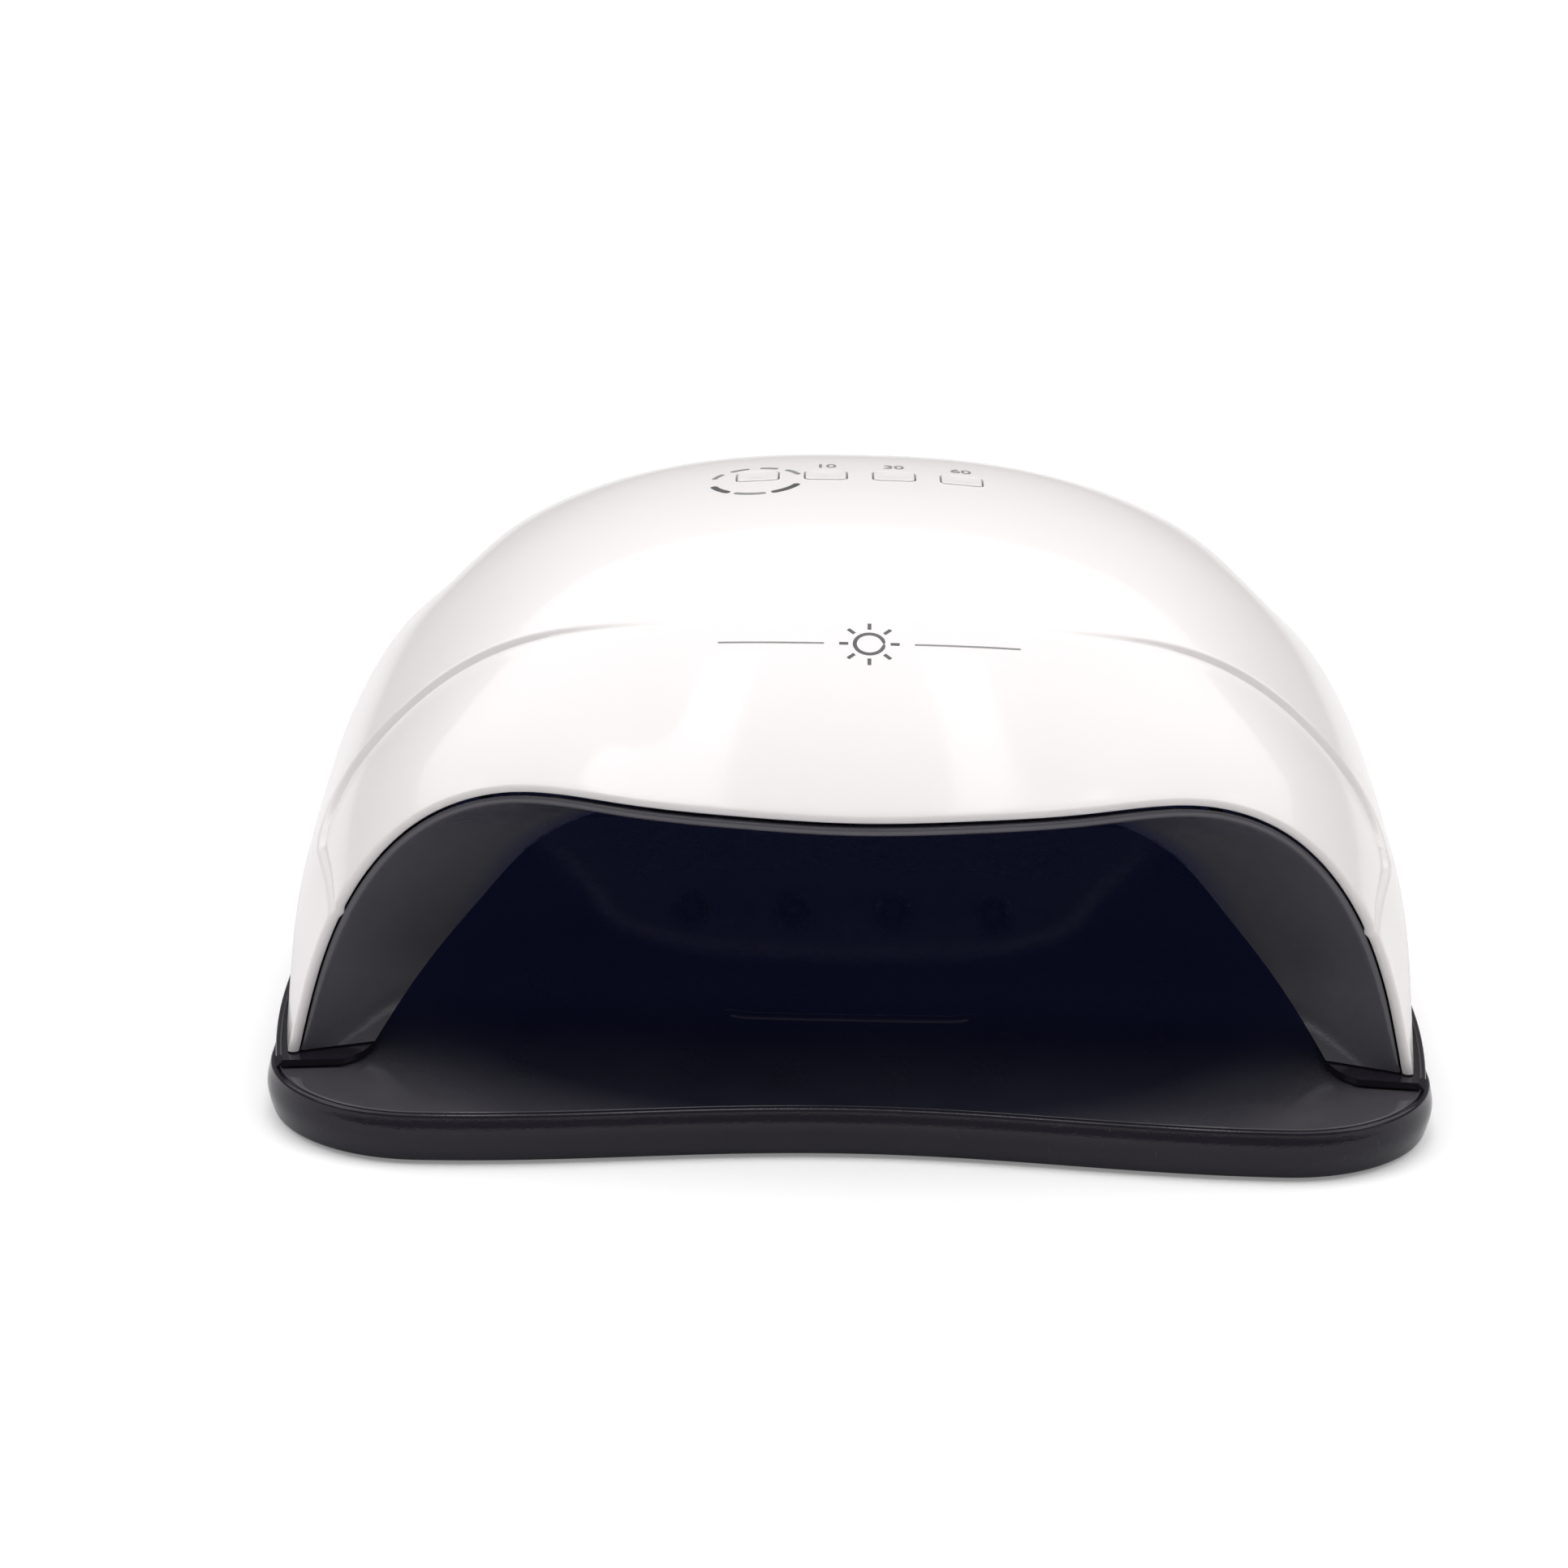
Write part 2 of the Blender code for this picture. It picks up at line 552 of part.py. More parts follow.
def key_block(name, levels, material=None):
    """Key-shaped block about its own origin, through (grow, height) levels."""
    return loft(name, [[(x, y, z) for x, y in key_outline(grow)] for grow, z in levels], material)


def make_keys(material):
    """Four key caps, each with a stem that stands over its switch."""
    plunger_top = CONTROL_BOARD_TOP + GAP + SWITCH_HEIGHT + PLUNGER_HEIGHT
    for number, x in enumerate(KEY_X, start=1):
        place, turn = key_seat(x)
        key = key_block(f"key_{number}", [(0.0, -1.8), (0.0, KEY_PROUD - 0.35),
                                          (-0.15, KEY_PROUD - 0.1), (-0.5, KEY_PROUD)], material)
        stem = bmesh.new()
        add_cylinder(stem, 1.6, plunger_top + KEY_TRAVEL + GAP - place[2], -1.4, (0, 0, 0))
        stem_tool = from_shape(f"key_stem_{number}", stem)
        for item in (key, stem_tool):
            item.location = [v * MM for v in place]
            item.rotation_euler = turn.to_euler()
        combine(key, stem_tool, "UNION")
        shade(key)


def make_outer_shell(material):
    outer, inner = dome_grids()
    shell = hood_solid("outer_shell", outer, inner, material)
    bosses, pilots = bmesh.new(), bmesh.new()
    for _, x, y, row in both_sides(FRAME_SCREW_PLACES):
        add_cylinder(bosses, 4.0, 15.8, SHELL_BOSS_TOPS[row], (x, y, 0))
        add_cylinder(pilots, 1.4, 14.0, 28.0, (x, y, 0), sides=10)
    for sign in (-1, 1):
        x = sign * BOARD_SCREW_X
        top = dome_height(x, BOARD_SCREW_Y) - 1.9
        add_cylinder(bosses, 3.0, CONTROL_BOARD_TOP + GAP, top, (x, BOARD_SCREW_Y, 0))
        add_cylinder(pilots, 1.4, CONTROL_BOARD_TOP - 1, CONTROL_BOARD_TOP + 6,
                     (x, BOARD_SCREW_Y, 0), sides=10)
    combine(shell, from_shape("shell_bosses", bosses), "UNION")
    combine(shell, from_shape("shell_pilots", pilots), "DIFFERENCE")
    for number, x in enumerate(KEY_X, start=1):
        place, turn = key_seat(x)
        hole = key_block(f"key_hole_{number}", [(KEY_CLEAR, -5.0), (KEY_CLEAR, 4.0)])
        hole.location = [v * MM for v in place]
        hole.rotation_euler = turn.to_euler()
        combine(shell, hole, "DIFFERENCE")
    openings = bmesh.new()
    add_cylinder(openings, 6.0, -8.0, 8.0, (0, 108.0, INLET_Z), ALONG_Y)
    for sign in (-1, 1):
        for slot in range(VENT_COUNT):
            x = sign * (VENT_FIRST_X + VENT_PITCH * slot)
            add_box(openings, (x - VENT_HALF_WIDTH, 80.0, VENT_LOW),
                    (x + VENT_HALF_WIDTH, 118.0, VENT_HIGH))
    combine(shell, from_shape("rear_openings", openings), "DIFFERENCE")
    return shade(shell)


def liner_grids():
    """Inside and outside of the liner: flare from the hood edge, then the chamber."""
    theta = np.linspace(0, math.pi, LINER_COLUMNS)
    mouth = spline(mirrored(MOUTH_EDGE), theta / math.pi)
    reach = np.abs(mouth[:, 0] / MOUTH_EDGE[0][0]) ** 6
    mouth_y = MOUTH_TOP_Y + (MOUTH_FOOT_Y - MOUTH_TOP_Y) * reach
    mouth = np.stack([mouth[:, 0], mouth_y, mouth[:, 1]], axis=1)

    edge = hood_edge(theta)
    dome_row = edge_outward(theta)
    start = edge - (WALL + 0.4 + LINER_WALL) * dome_row
    start[:, 1] += 1.0
    start[(0, -1), 2] = RIM_Z
    rows = []
    for share in np.linspace(0, 1, FLARE_ROWS + 1)[:-1]:
        rows.append(start + (mouth - start) * share)
    for angle in np.linspace(0, math.pi / 2, CHAMBER_ROWS):
        forward = math.sin(angle) ** (2 / CHAMBER_POWER)
        size = max(math.cos(angle), 0.0) ** (2 / CHAMBER_POWER)
        y = mouth[:, 1] + (CHAMBER_REAR_Y - mouth[:, 1]) * forward
        rows.append(np.stack([mouth[:, 0] * size, y, RIM_Z + (mouth[:, 2] - RIM_Z) * size], 1))
    inside = np.array(rows)
    inside[-1] = (0.0, CHAMBER_REAR_Y, RIM_Z)
    normals = surface_normals(inside)
    normals[0] = dome_row
    normals[0, (0, -1), 2] = 0.0
    return inside, inside + LINER_WALL * normals


def side_turn(sign):
    """Turn that lays +Z on the outward normal of a sloping side wall."""
    return Matrix.Rotation(sign * math.atan2(SIDE_WALL_NORMAL[0], SIDE_WALL_NORMAL[1]), 4, "Y")


def lamp_seats():
    """Every lamp as board name, place on the inner wall and turn of its outward axis."""
    for x, y in ROOF_LAMPS:
        yield "roof", (x, y, 58.4), Matrix()
    for sign, side in ((-1, "left"), (1, "right")):
        for y in SIDE_LAMP_Y:
            yield side, (sign * SIDE_WALL_POINT[0], y, SIDE_WALL_POINT[1]), side_turn(sign)
    for x in REAR_LAMP_X:
        yield "rear", (x, CHAMBER_REAR_Y - 0.6, REAR_LAMP_Z), ALONG_Y


def make_inner_liner(material):
    inside, outside = liner_grids()
    liner = hood_solid("inner_liner", outside, inside, material)
    holes = bmesh.new()
    for _, place, turn in lamp_seats():
        add_cylinder(holes, LAMP_HOLE_RADIUS, -4.5, 3.9, place, turn, sides=12)
    for x, y in SENSOR_PLACES:
        for sign in (-1, 1):
            add_cylinder(holes, 2.9, 50.0, 66.0, (sign * x, y, 0), sides=12)
    combine(liner, from_shape("liner_holes", holes), "DIFFERENCE")
    return shade(liner)


def make_lamp_board(side, low, high, place, turn, material):
    """Circuit board with its lamps standing on it and looking into the chamber."""
    shape = bmesh.new()
    add_box(shape, low, high, place, turn)
    board = from_shape(f"{side}_lamp_board", shape, material)
    lamps = bmesh.new()
    for owner, seat, lamp_turn in lamp_seats():
        if owner == side:
            add_cylinder(lamps, LAMP_RADIUS, 0.2, 5.4, seat, lamp_turn, sides=10)
    combine(board, from_shape(f"{side}_lamps", lamps), "UNION")
    return board


def make_lamp_boards(material):
    make_lamp_board("roof", (-42, -36, 4.6), (42, 46, 6.2), (0, 0, 58.4), None, material)
    for sign, side in ((-1, "left"), (1, "right")):
        place = (sign * SIDE_WALL_POINT[0], 0, SIDE_WALL_POINT[1])
        make_lamp_board(side, (-6, -12, 4.2), (6, 53, 5.8), place, side_turn(sign), material)
    make_lamp_board("rear", (-44, -9, 3.4), (44, 9, 5.0),
                    (0, CHAMBER_REAR_Y - 0.6, REAR_LAMP_Z), ALONG_Y, material)


def make_controls(board_green, plastic, steel):
    """Control board under the keys, its switches and the screws that hold it up."""
    low = CONTROL_BOARD_TOP - BOARD_THICKNESS
    shape = bmesh.new()
    add_box(shape, (-41, -8, low), (41, 24, CONTROL_BOARD_TOP))
    board = from_shape("control_board", shape, board_green)
    chip = bmesh.new()
    add_box(chip, (-8, 15, CONTROL_BOARD_TOP - 0.4), (4, 22, CONTROL_BOARD_TOP + 1.8))
    combine(board, from_shape("control_chip", chip), "UNION")
    holes = bmesh.new()
    for sign in (-1, 1):
        add_cylinder(holes, 1.6, low - 1, CONTROL_BOARD_TOP + 1,
                     (sign * BOARD_SCREW_X, BOARD_SCREW_Y, 0), sides=12)
    combine(board, from_shape("board_holes", holes), "DIFFERENCE")
    for sign, side in ((-1, "left"), (1, "right")):
        make_screw(f"board_screw_{side}", sign * BOARD_SCREW_X, BOARD_SCREW_Y,
                   low - 2.3, low - GAP, CONTROL_BOARD_TOP + 4.5, steel)
    base = CONTROL_BOARD_TOP + GAP
    for number, x in enumerate(KEY_X, start=1):
        shape = bmesh.new()
        add_box(shape, (-3, -3, 0), (3, 3, SWITCH_HEIGHT), (x, KEY_Y, base))
        switch = from_shape(f"key_switch_{number}", shape, plastic)
        plunger = bmesh.new()
        add_cylinder(plunger, 1.7, 1.0, SWITCH_HEIGHT + PLUNGER_HEIGHT, (x, KEY_Y, base),
                     sides=12)
        combine(switch, from_shape(f"plunger_{number}", plunger), "UNION")


def make_power_parts(board_green, plastic, lead):
    """Driver board behind the chamber, the inlet for the power plug and the leads."""
    shape = bmesh.new()
    add_box(shape, (-46, DRIVER_Y, 17.0), (46, DRIVER_Y + BOARD_THICKNESS, 46.0))
    driver = from_shape("driver_board", shape, board_green)
    parts = bmesh.new()
    for x in (-30.0, 30.0):
        add_cylinder(parts, 4.5, 0.8, 9.0, (x, DRIVER_Y, 33.0), ALONG_Y)
    add_box(parts, (-20, DRIVER_Y - 4.5, 24), (-8, DRIVER_Y + 0.8, 36))
    combine(driver, from_shape("driver_parts", parts), "UNION")

    inlet = cylinder("power_inlet", 5.5, -0.8, 13.0, (0, INLET_Y, INLET_Z), plastic, ALONG_Y)
    block, bore, pin = bmesh.new(), bmesh.new(), bmesh.new()
    add_box(block, (-7, 95.0, INLET_Z - 6.5), (7, 105.6, INLET_Z + 6.5))
    combine(inlet, from_shape("inlet_block", block), "UNION")
    add_cylinder(bore, 3.1, 3.0, 16.0, (0, INLET_Y, INLET_Z), ALONG_Y)
    combine(inlet, from_shape("inlet_bore", bore), "DIFFERENCE")
    add_cylinder(pin, 1.0, 2.0, 11.5, (0, INLET_Y, INLET_Z), ALONG_Y, sides=10)
    combine(inlet, from_shape("inlet_pin", pin), "UNION")

    for sign, side in ((-1, "left"), (1, "right")):
        tube(f"power_lead_{side}",
             [(sign * 3.5, 93.9, INLET_Z - 3), (sign * 4.5, 93.4, INLET_Z - 3.4),
              (sign * 7.5, 93.0, INLET_Z - 5), (sign * 11.0, 92.9, INLET_Z - 5.5)], 0.9, lead)
        x = sign * SIDE_WALL_POINT[0]
        tube(f"lamp_lead_{side}",
             [(sign * 46.8, 90.8, 38.0), (sign * 53.0, 87.0, 42.0), (sign * 64.0, 77.0, 48.0),
              (x + sign * 3.5, 62.0, 47.5), (x + sign * 3.6, 53.9, 46.0)], 0.9, lead)
    tube("key_lead", [(0.0, 90.8, 46.9), (0.0, 90.0, 52.0), (0.0, 80.0, 68.0),
                      (0.0, 58.0, 86.0), (0.0, 34.0, 97.3), (0.0, 24.9, 98.2)], 1.2, lead)


def make_housing(white, black, magnet, steel, board_green, plastic, lead, window):
    make_base_frame(black)
    make_outer_shell(white)
    make_inner_liner(black)
    for label, x, y, _ in both_sides(MAGNET_PLACES):
        cylinder(f"frame_magnet_{label}", 4.0, FRAME_TOP + GAP, FRAME_TOP + GAP + 3.0,
                 (x, y, 0), magnet)
    for label, x, y, _ in both_sides(FRAME_SCREW_PLACES):
        make_screw(f"frame_screw_{label}", x, y, FRAME_BOTTOM + 0.3, 13.5, 26.0, steel)
    make_lamp_boards(board_green)
    for sign, side in ((-1, "left"), (1, "right")):
        x, y = SENSOR_PLACES[0]
        cylinder(f"hand_sensor_{side}", 2.5, 58.6, 66.0, (sign * x, y, 0), window, sides=14)
    make_controls(board_green, plastic, steel)
    make_power_parts(board_green, plastic, lead)
    make_keys(white)


clear_scene()
WHITE = finish("white_shell", (0.86, 0.84, 0.84), 0.18)
BLACK = finish("black_plastic", (0.03, 0.03, 0.035), 0.42)
RUBBER = finish("foot_rubber", (0.04, 0.04, 0.04), 0.85)
STEEL = finish("screw_steel", (0.55, 0.55, 0.56), 0.32, 1.0)
MAGNET = finish("magnet_nickel", (0.62, 0.61, 0.58), 0.25, 1.0)
BOARD = finish("circuit_board", (0.05, 0.22, 0.10), 0.45)
PLASTIC = finish("component_plastic", (0.02, 0.02, 0.02), 0.5)
LEAD = finish("lead_insulation", (0.05, 0.05, 0.05), 0.5)
WINDOW = finish("sensor_window", (0.02, 0.01, 0.02), 0.1)
make_tray(BLACK, RUBBER, STEEL, MAGNET)
make_housing(WHITE, BLACK, MAGNET, STEEL, BOARD, PLASTIC, LEAD, WINDOW)
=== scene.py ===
import math

import bmesh
import bpy
import numpy as np
from mathutils import Matrix, Vector


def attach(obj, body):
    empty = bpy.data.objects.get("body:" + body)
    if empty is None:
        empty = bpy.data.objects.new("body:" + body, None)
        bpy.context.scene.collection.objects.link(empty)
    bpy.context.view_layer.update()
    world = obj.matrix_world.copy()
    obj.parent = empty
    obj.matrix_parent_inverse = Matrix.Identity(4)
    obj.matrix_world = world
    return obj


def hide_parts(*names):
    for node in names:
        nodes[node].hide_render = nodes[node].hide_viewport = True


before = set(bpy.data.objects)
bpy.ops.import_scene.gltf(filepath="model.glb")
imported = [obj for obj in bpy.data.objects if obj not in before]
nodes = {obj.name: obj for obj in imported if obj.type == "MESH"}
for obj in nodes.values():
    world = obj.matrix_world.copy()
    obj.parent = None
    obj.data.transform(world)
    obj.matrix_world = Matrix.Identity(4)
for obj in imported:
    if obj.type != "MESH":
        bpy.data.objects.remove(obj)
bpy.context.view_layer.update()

# ---------------------------------------------------------------------------------------------
# Camera, light and floor. A long lens looks a little down into the hand opening. A wide soft
# panel and two narrow bars hang overhead, a side panel fills from the left and the right, and
# a weak one from the front. The floor is a pale matt sweep. The camera alone sees it and the
# world brighter than they light the lamp.

AIM = Vector((-0.0145, 0.0, 0.0432))
CAMERA_TURN, CAMERA_TILT, CAMERA_ROLL = math.radians(0.12), math.radians(18.22), math.radians(1.13)
CAMERA_DISTANCE, LENS = 0.900, 95.72

back = Vector((math.sin(CAMERA_TURN) * math.cos(CAMERA_TILT),
               -math.cos(CAMERA_TURN) * math.cos(CAMERA_TILT), math.sin(CAMERA_TILT)))
level_right = Vector((0, 0, 1)).cross(back).normalized()
level_up = back.cross(level_right)
right = level_right * math.cos(CAMERA_ROLL) + level_up * math.sin(CAMERA_ROLL)
up = level_up * math.cos(CAMERA_ROLL) - level_right * math.sin(CAMERA_ROLL)
camera = bpy.data.objects.new("camera", bpy.data.cameras.new("camera"))
camera.data.lens = LENS
camera.data.sensor_width = 36.0
camera.matrix_world = (Matrix.Translation(AIM + back * CAMERA_DISTANCE)
                       @ Matrix((right, up, back)).transposed().to_4x4())
bpy.context.collection.objects.link(camera)
bpy.context.scene.camera = camera
bpy.context.scene.view_settings.view_transform = "Standard"


def soft_light(name, place, aim, size, power, colour=(1.0, 1.0, 1.0)):
    """Rectangular soft light at place, turned to face aim."""
    light = bpy.data.lights.new(name, "AREA")
    light.shape = "RECTANGLE"
    light.size, light.size_y = size
    light.energy = power
    light.color = colour
    lamp = bpy.data.objects.new(name, light)
    lamp.location = place
    direction = Vector(place) - Vector(aim)
    lamp.rotation_euler = direction.to_track_quat("Z", "Y").to_euler()
    bpy.context.collection.objects.link(lamp)


soft_light("overhead_panel", (0.0, 0.42, 1.40), (0.0, 0.42, 0.0), (4.2, 2.4), 43.5)
soft_light("bar_left", (-0.098, -0.15, 1.12), (-0.098, -0.15, 0.0), (0.06, 0.9), 0.75)
soft_light("bar_right", (0.094, -0.15, 1.12), (0.094, -0.15, 0.0), (0.06, 0.9), 0.75)
soft_light("left_fill", (-1.5, -0.5, 1.35), (0.0, 0.0, 0.06), (1.0, 1.4), 5.4)
soft_light("right_fill", (1.5, -0.5, 1.35), (0.0, 0.0, 0.06), (1.0, 1.4), 5.4)
soft_light("front_fill", (0.0, -1.3, 1.60), (0.0, 0.0, 0.05), (1.6, 0.9), 0.3)

world = bpy.data.worlds.new("studio")
world.use_nodes = True
bpy.context.scene.world = world
sky = world.node_tree.nodes["Background"]
sky.inputs["Color"].default_value = (1.0, 0.99, 0.99, 1.0)
sky.inputs["Strength"].default_value = 0.24
shown = world.node_tree.nodes.new("ShaderNodeBackground")
shown.inputs["Color"].default_value = (1.0, 1.0, 1.0, 1.0)
shown.inputs["Strength"].default_value = 1.0
seen = world.node_tree.nodes.new("ShaderNodeLightPath")
either = world.node_tree.nodes.new("ShaderNodeMixShader")
world.node_tree.links.new(seen.outputs["Is Camera Ray"], either.inputs[0])
world.node_tree.links.new(sky.outputs[0], either.inputs[1])
world.node_tree.links.new(shown.outputs[0], either.inputs[2])
world.node_tree.links.new(either.outputs[0], world.node_tree.nodes["World Output"].inputs[0])


def new_material(name, colour, roughness, metallic=0.0):
    """A new material, with its node tree and its Principled shader."""
    material = bpy.data.materials.new(name)
    material.use_nodes = True
    tree = material.node_tree
    shader = tree.nodes["Principled BSDF"]
    shader.inputs["Base Color"].default_value = (*colour, 1.0)
    shader.inputs["Roughness"].default_value = roughness
    shader.inputs["Metallic"].default_value = metallic
    return material, tree, shader


floor_finish, floor_tree, floor_shader = new_material("pale_floor", (0.84, 0.83, 0.84), 0.8)
floor_place = floor_tree.nodes.new("ShaderNodeTexCoord")
floor_reach = floor_tree.nodes.new("ShaderNodeVectorMath")
floor_reach.operation = "LENGTH"
floor_lift = floor_tree.nodes.new("ShaderNodeMapRange")
for label, value in (("From Min", 0.4), ("From Max", 1.6), ("To Min", 0.22), ("To Max", 0.85)):
    floor_lift.inputs[label].default_value = value
floor_seen = floor_tree.nodes.new("ShaderNodeLightPath")
floor_glow = floor_tree.nodes.new("ShaderNodeMath")
floor_glow.operation = "MULTIPLY"
floor_tree.links.new(floor_place.outputs["Object"], floor_reach.inputs[0])
floor_tree.links.new(floor_reach.outputs["Value"], floor_lift.inputs["Value"])
floor_tree.links.new(floor_lift.outputs[0], floor_glow.inputs[0])
floor_tree.links.new(floor_seen.outputs["Is Camera Ray"], floor_glow.inputs[1])
floor_tree.links.new(floor_glow.outputs[0], floor_shader.inputs["Emission Color"])
floor_shader.inputs["Emission Strength"].default_value = 1.0
floor_mesh = bpy.data.meshes.new("floor")
floor_mesh.from_pydata([(-6, -6, 0), (6, -6, 0), (6, 6, 0), (-6, 6, 0)], [], [(0, 1, 2, 3)])
floor_mesh.materials.append(floor_finish)
floor = bpy.data.objects.new("floor", floor_mesh)
bpy.context.collection.objects.link(floor)

# ---------------------------------------------------------------------------------------------
# Base pan. A shallow black moulding with a bulging edge that the lamp stands on. Its outline is
# waisted at the front for the wrist, has two round corners, and is full at the rear.

MM = 0.001
TRAY_HALF_WIDTH, CORNER_RADIUS, CORNER_Y = 116.6, 32.0, -79.0
FRONT_MIDDLE_Y, REAR_CENTRE_Y, REAR_DEPTH = -103.6, -15.0, 126.0
PAN_BOTTOM, PAN_LEDGE, PAN_TOP = 0.7, 9.0, 10.7


def tray_loop(inset):
    """Closed outline of the tray, set in by inset.

    The front is a raised cosine of x, the corner an arc, and the rear a superellipse of
    power 2.5. The left half mirrors the right.
    """
    corner_x = TRAY_HALF_WIDTH - CORNER_RADIUS
    along = np.linspace(0, 1, 61)[:-1]
    swell = (1 - np.cos(math.pi * along)) / 2
    front = np.stack([corner_x * along, FRONT_MIDDLE_Y + inset
                      + (CORNER_Y - CORNER_RADIUS - FRONT_MIDDLE_Y) * swell], axis=1)
    turn = np.linspace(-math.pi / 2, 0, 33)
    corner = np.stack([corner_x + (CORNER_RADIUS - inset) * np.cos(turn),
                       CORNER_Y + (CORNER_RADIUS - inset) * np.sin(turn)], axis=1)
    side_y = np.linspace(CORNER_Y, REAR_CENTRE_Y, 20)[1:-1]
    side = np.stack([np.full(18, TRAY_HALF_WIDTH - inset), side_y], axis=1)
    turn = np.linspace(0, math.pi / 2, 70)
    rear = np.stack([(TRAY_HALF_WIDTH - inset) * np.cos(turn) ** 0.8,
                     REAR_CENTRE_Y + (REAR_DEPTH - inset) * np.sin(turn) ** 0.8], axis=1)
    half = np.concatenate([front, corner, side, rear])
    return np.concatenate([half, half[-2:0:-1] * (-1, 1)])


def stack(profile, loop=tray_loop):
    """Grid of outlines, one for each (inset, height) of a profile. Heights may vary round it."""
    rows = []
    for inset, height in profile:
        outline = loop(inset)
        rows.append(np.column_stack([outline, np.broadcast_to(height, len(outline))]))
    return np.array(rows)


def arc(centre, radius, start, end, count):
    """Profile points (inset, height) on an arc, with angles in degrees from the inset axis."""
    turn = np.radians(np.linspace(start, end, count))
    return [(centre[0] + radius * math.cos(a), centre[1] + radius * math.sin(a)) for a in turn]


def surface(name, grid, body, material, wrap=True, caps=True, sharp=40.0):
    """Mesh of a grid of millimetre points: quads between rows, joined round if wrap is true.

    With caps, the first and the last row are closed with a flat face each. Points that meet
    at a pole or a seam are merged, and the faces are turned outwards.
    """
    rows, columns = grid.shape[:2]
    index = np.arange(rows * columns).reshape(rows, columns)
    beside = np.roll(index, -1, axis=1) if wrap else index[:, 1:]
    index = index if wrap else index[:, :-1]
    quads = np.stack([index[:-1], beside[:-1], beside[1:], index[1:]], axis=-1).reshape(-1, 4)
    faces = [tuple(quad) for quad in quads.tolist()]
    if caps:
        faces.append(tuple(range(columns)))
        faces.append(tuple(range((rows - 1) * columns, rows * columns)))
    mesh = bpy.data.meshes.new(name)
    mesh.from_pydata((grid.reshape(-1, 3) * MM).tolist(), [], faces)
    return place_mesh(name, mesh, body, material, sharp)


def place_mesh(name, mesh, body, material, sharp=40.0):
    """Clean a mesh, shade it smooth and let it ride on a body."""
    shape = bmesh.new()
    shape.from_mesh(mesh)
    bmesh.ops.remove_doubles(shape, verts=shape.verts, dist=2e-6)
    bmesh.ops.dissolve_degenerate(shape, edges=shape.edges, dist=1e-6)
    bmesh.ops.recalc_face_normals(shape, faces=shape.faces)
    shape.to_mesh(mesh)
    shape.free()
    mesh.shade_smooth()
    mesh.set_sharp_from_angle(angle=math.radians(sharp))
    mesh.materials.append(material)
    item = bpy.data.objects.new(name, mesh)
    bpy.context.collection.objects.link(item)
    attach(item, body)
    return item


def effect(name, inputs, outputs):
    """Empty shader node group with its sockets; returns the tree and its two end nodes."""
    tree = bpy.data.node_groups.new(name, "ShaderNodeTree")
    for label, kind, value in inputs:
        socket = tree.interface.new_socket(label, in_out="INPUT", socket_type=kind)
        if value is not None:
            socket.default_value = value
    for label, kind in outputs:
        tree.interface.new_socket(label, in_out="OUTPUT", socket_type=kind)
    return tree, tree.nodes.new("NodeGroupInput"), tree.nodes.new("NodeGroupOutput")


def node(tree, kind, wires=None, **settings):
    """Add a node, set its properties, and wire or set its inputs by name or number."""
    made = tree.nodes.new(kind)
    for label, value in settings.items():
        setattr(made, label, value)
    for label, value in (wires or {}).items():
        if isinstance(value, bpy.types.NodeSocket):
            tree.links.new(value, made.inputs[label])
        else:
            made.inputs[label].default_value = value
    return made


def between(tree, value, low, high, to_low=0.0, to_high=1.0):
    """Map a value from low..high to to_low..to_high, clamped."""
    return node(tree, "ShaderNodeMapRange", {"Value": value, "From Min": low, "From Max": high,
                                             "To Min": to_low, "To Max": to_high}).outputs[0]


def make_grain():
    """Moulded grain: fine pebbles with a slower unevenness, as a height and a 0..1 value."""
    tree, start, end = effect("moulded_grain", [("Scale", "NodeSocketFloat", 1.0)],
                              [("Height", "NodeSocketFloat"), ("Patches", "NodeSocketFloat")])
    place = node(tree, "ShaderNodeTexCoord").outputs["Object"]
    sized = node(tree, "ShaderNodeVectorMath", {0: place, "Scale": start.outputs["Scale"]},
                 operation="SCALE").outputs[0]
    pebbles = node(tree, "ShaderNodeTexVoronoi", {"Vector": sized, "Scale": 2600.0})
    dents = node(tree, "ShaderNodeTexNoise", {"Vector": sized, "Scale": 900.0, "Detail": 3.0})
    both = node(tree, "ShaderNodeMath", {0: pebbles.outputs["Distance"],
                                         1: dents.outputs["Fac"]}, operation="ADD")
    patches = node(tree, "ShaderNodeTexNoise", {"Vector": place, "Scale": 28.0, "Detail": 4.0,
                                                "Roughness": 0.6})
    tree.links.new(both.outputs[0], end.inputs["Height"])
    tree.links.new(patches.outputs["Fac"], end.inputs["Patches"])
    return tree


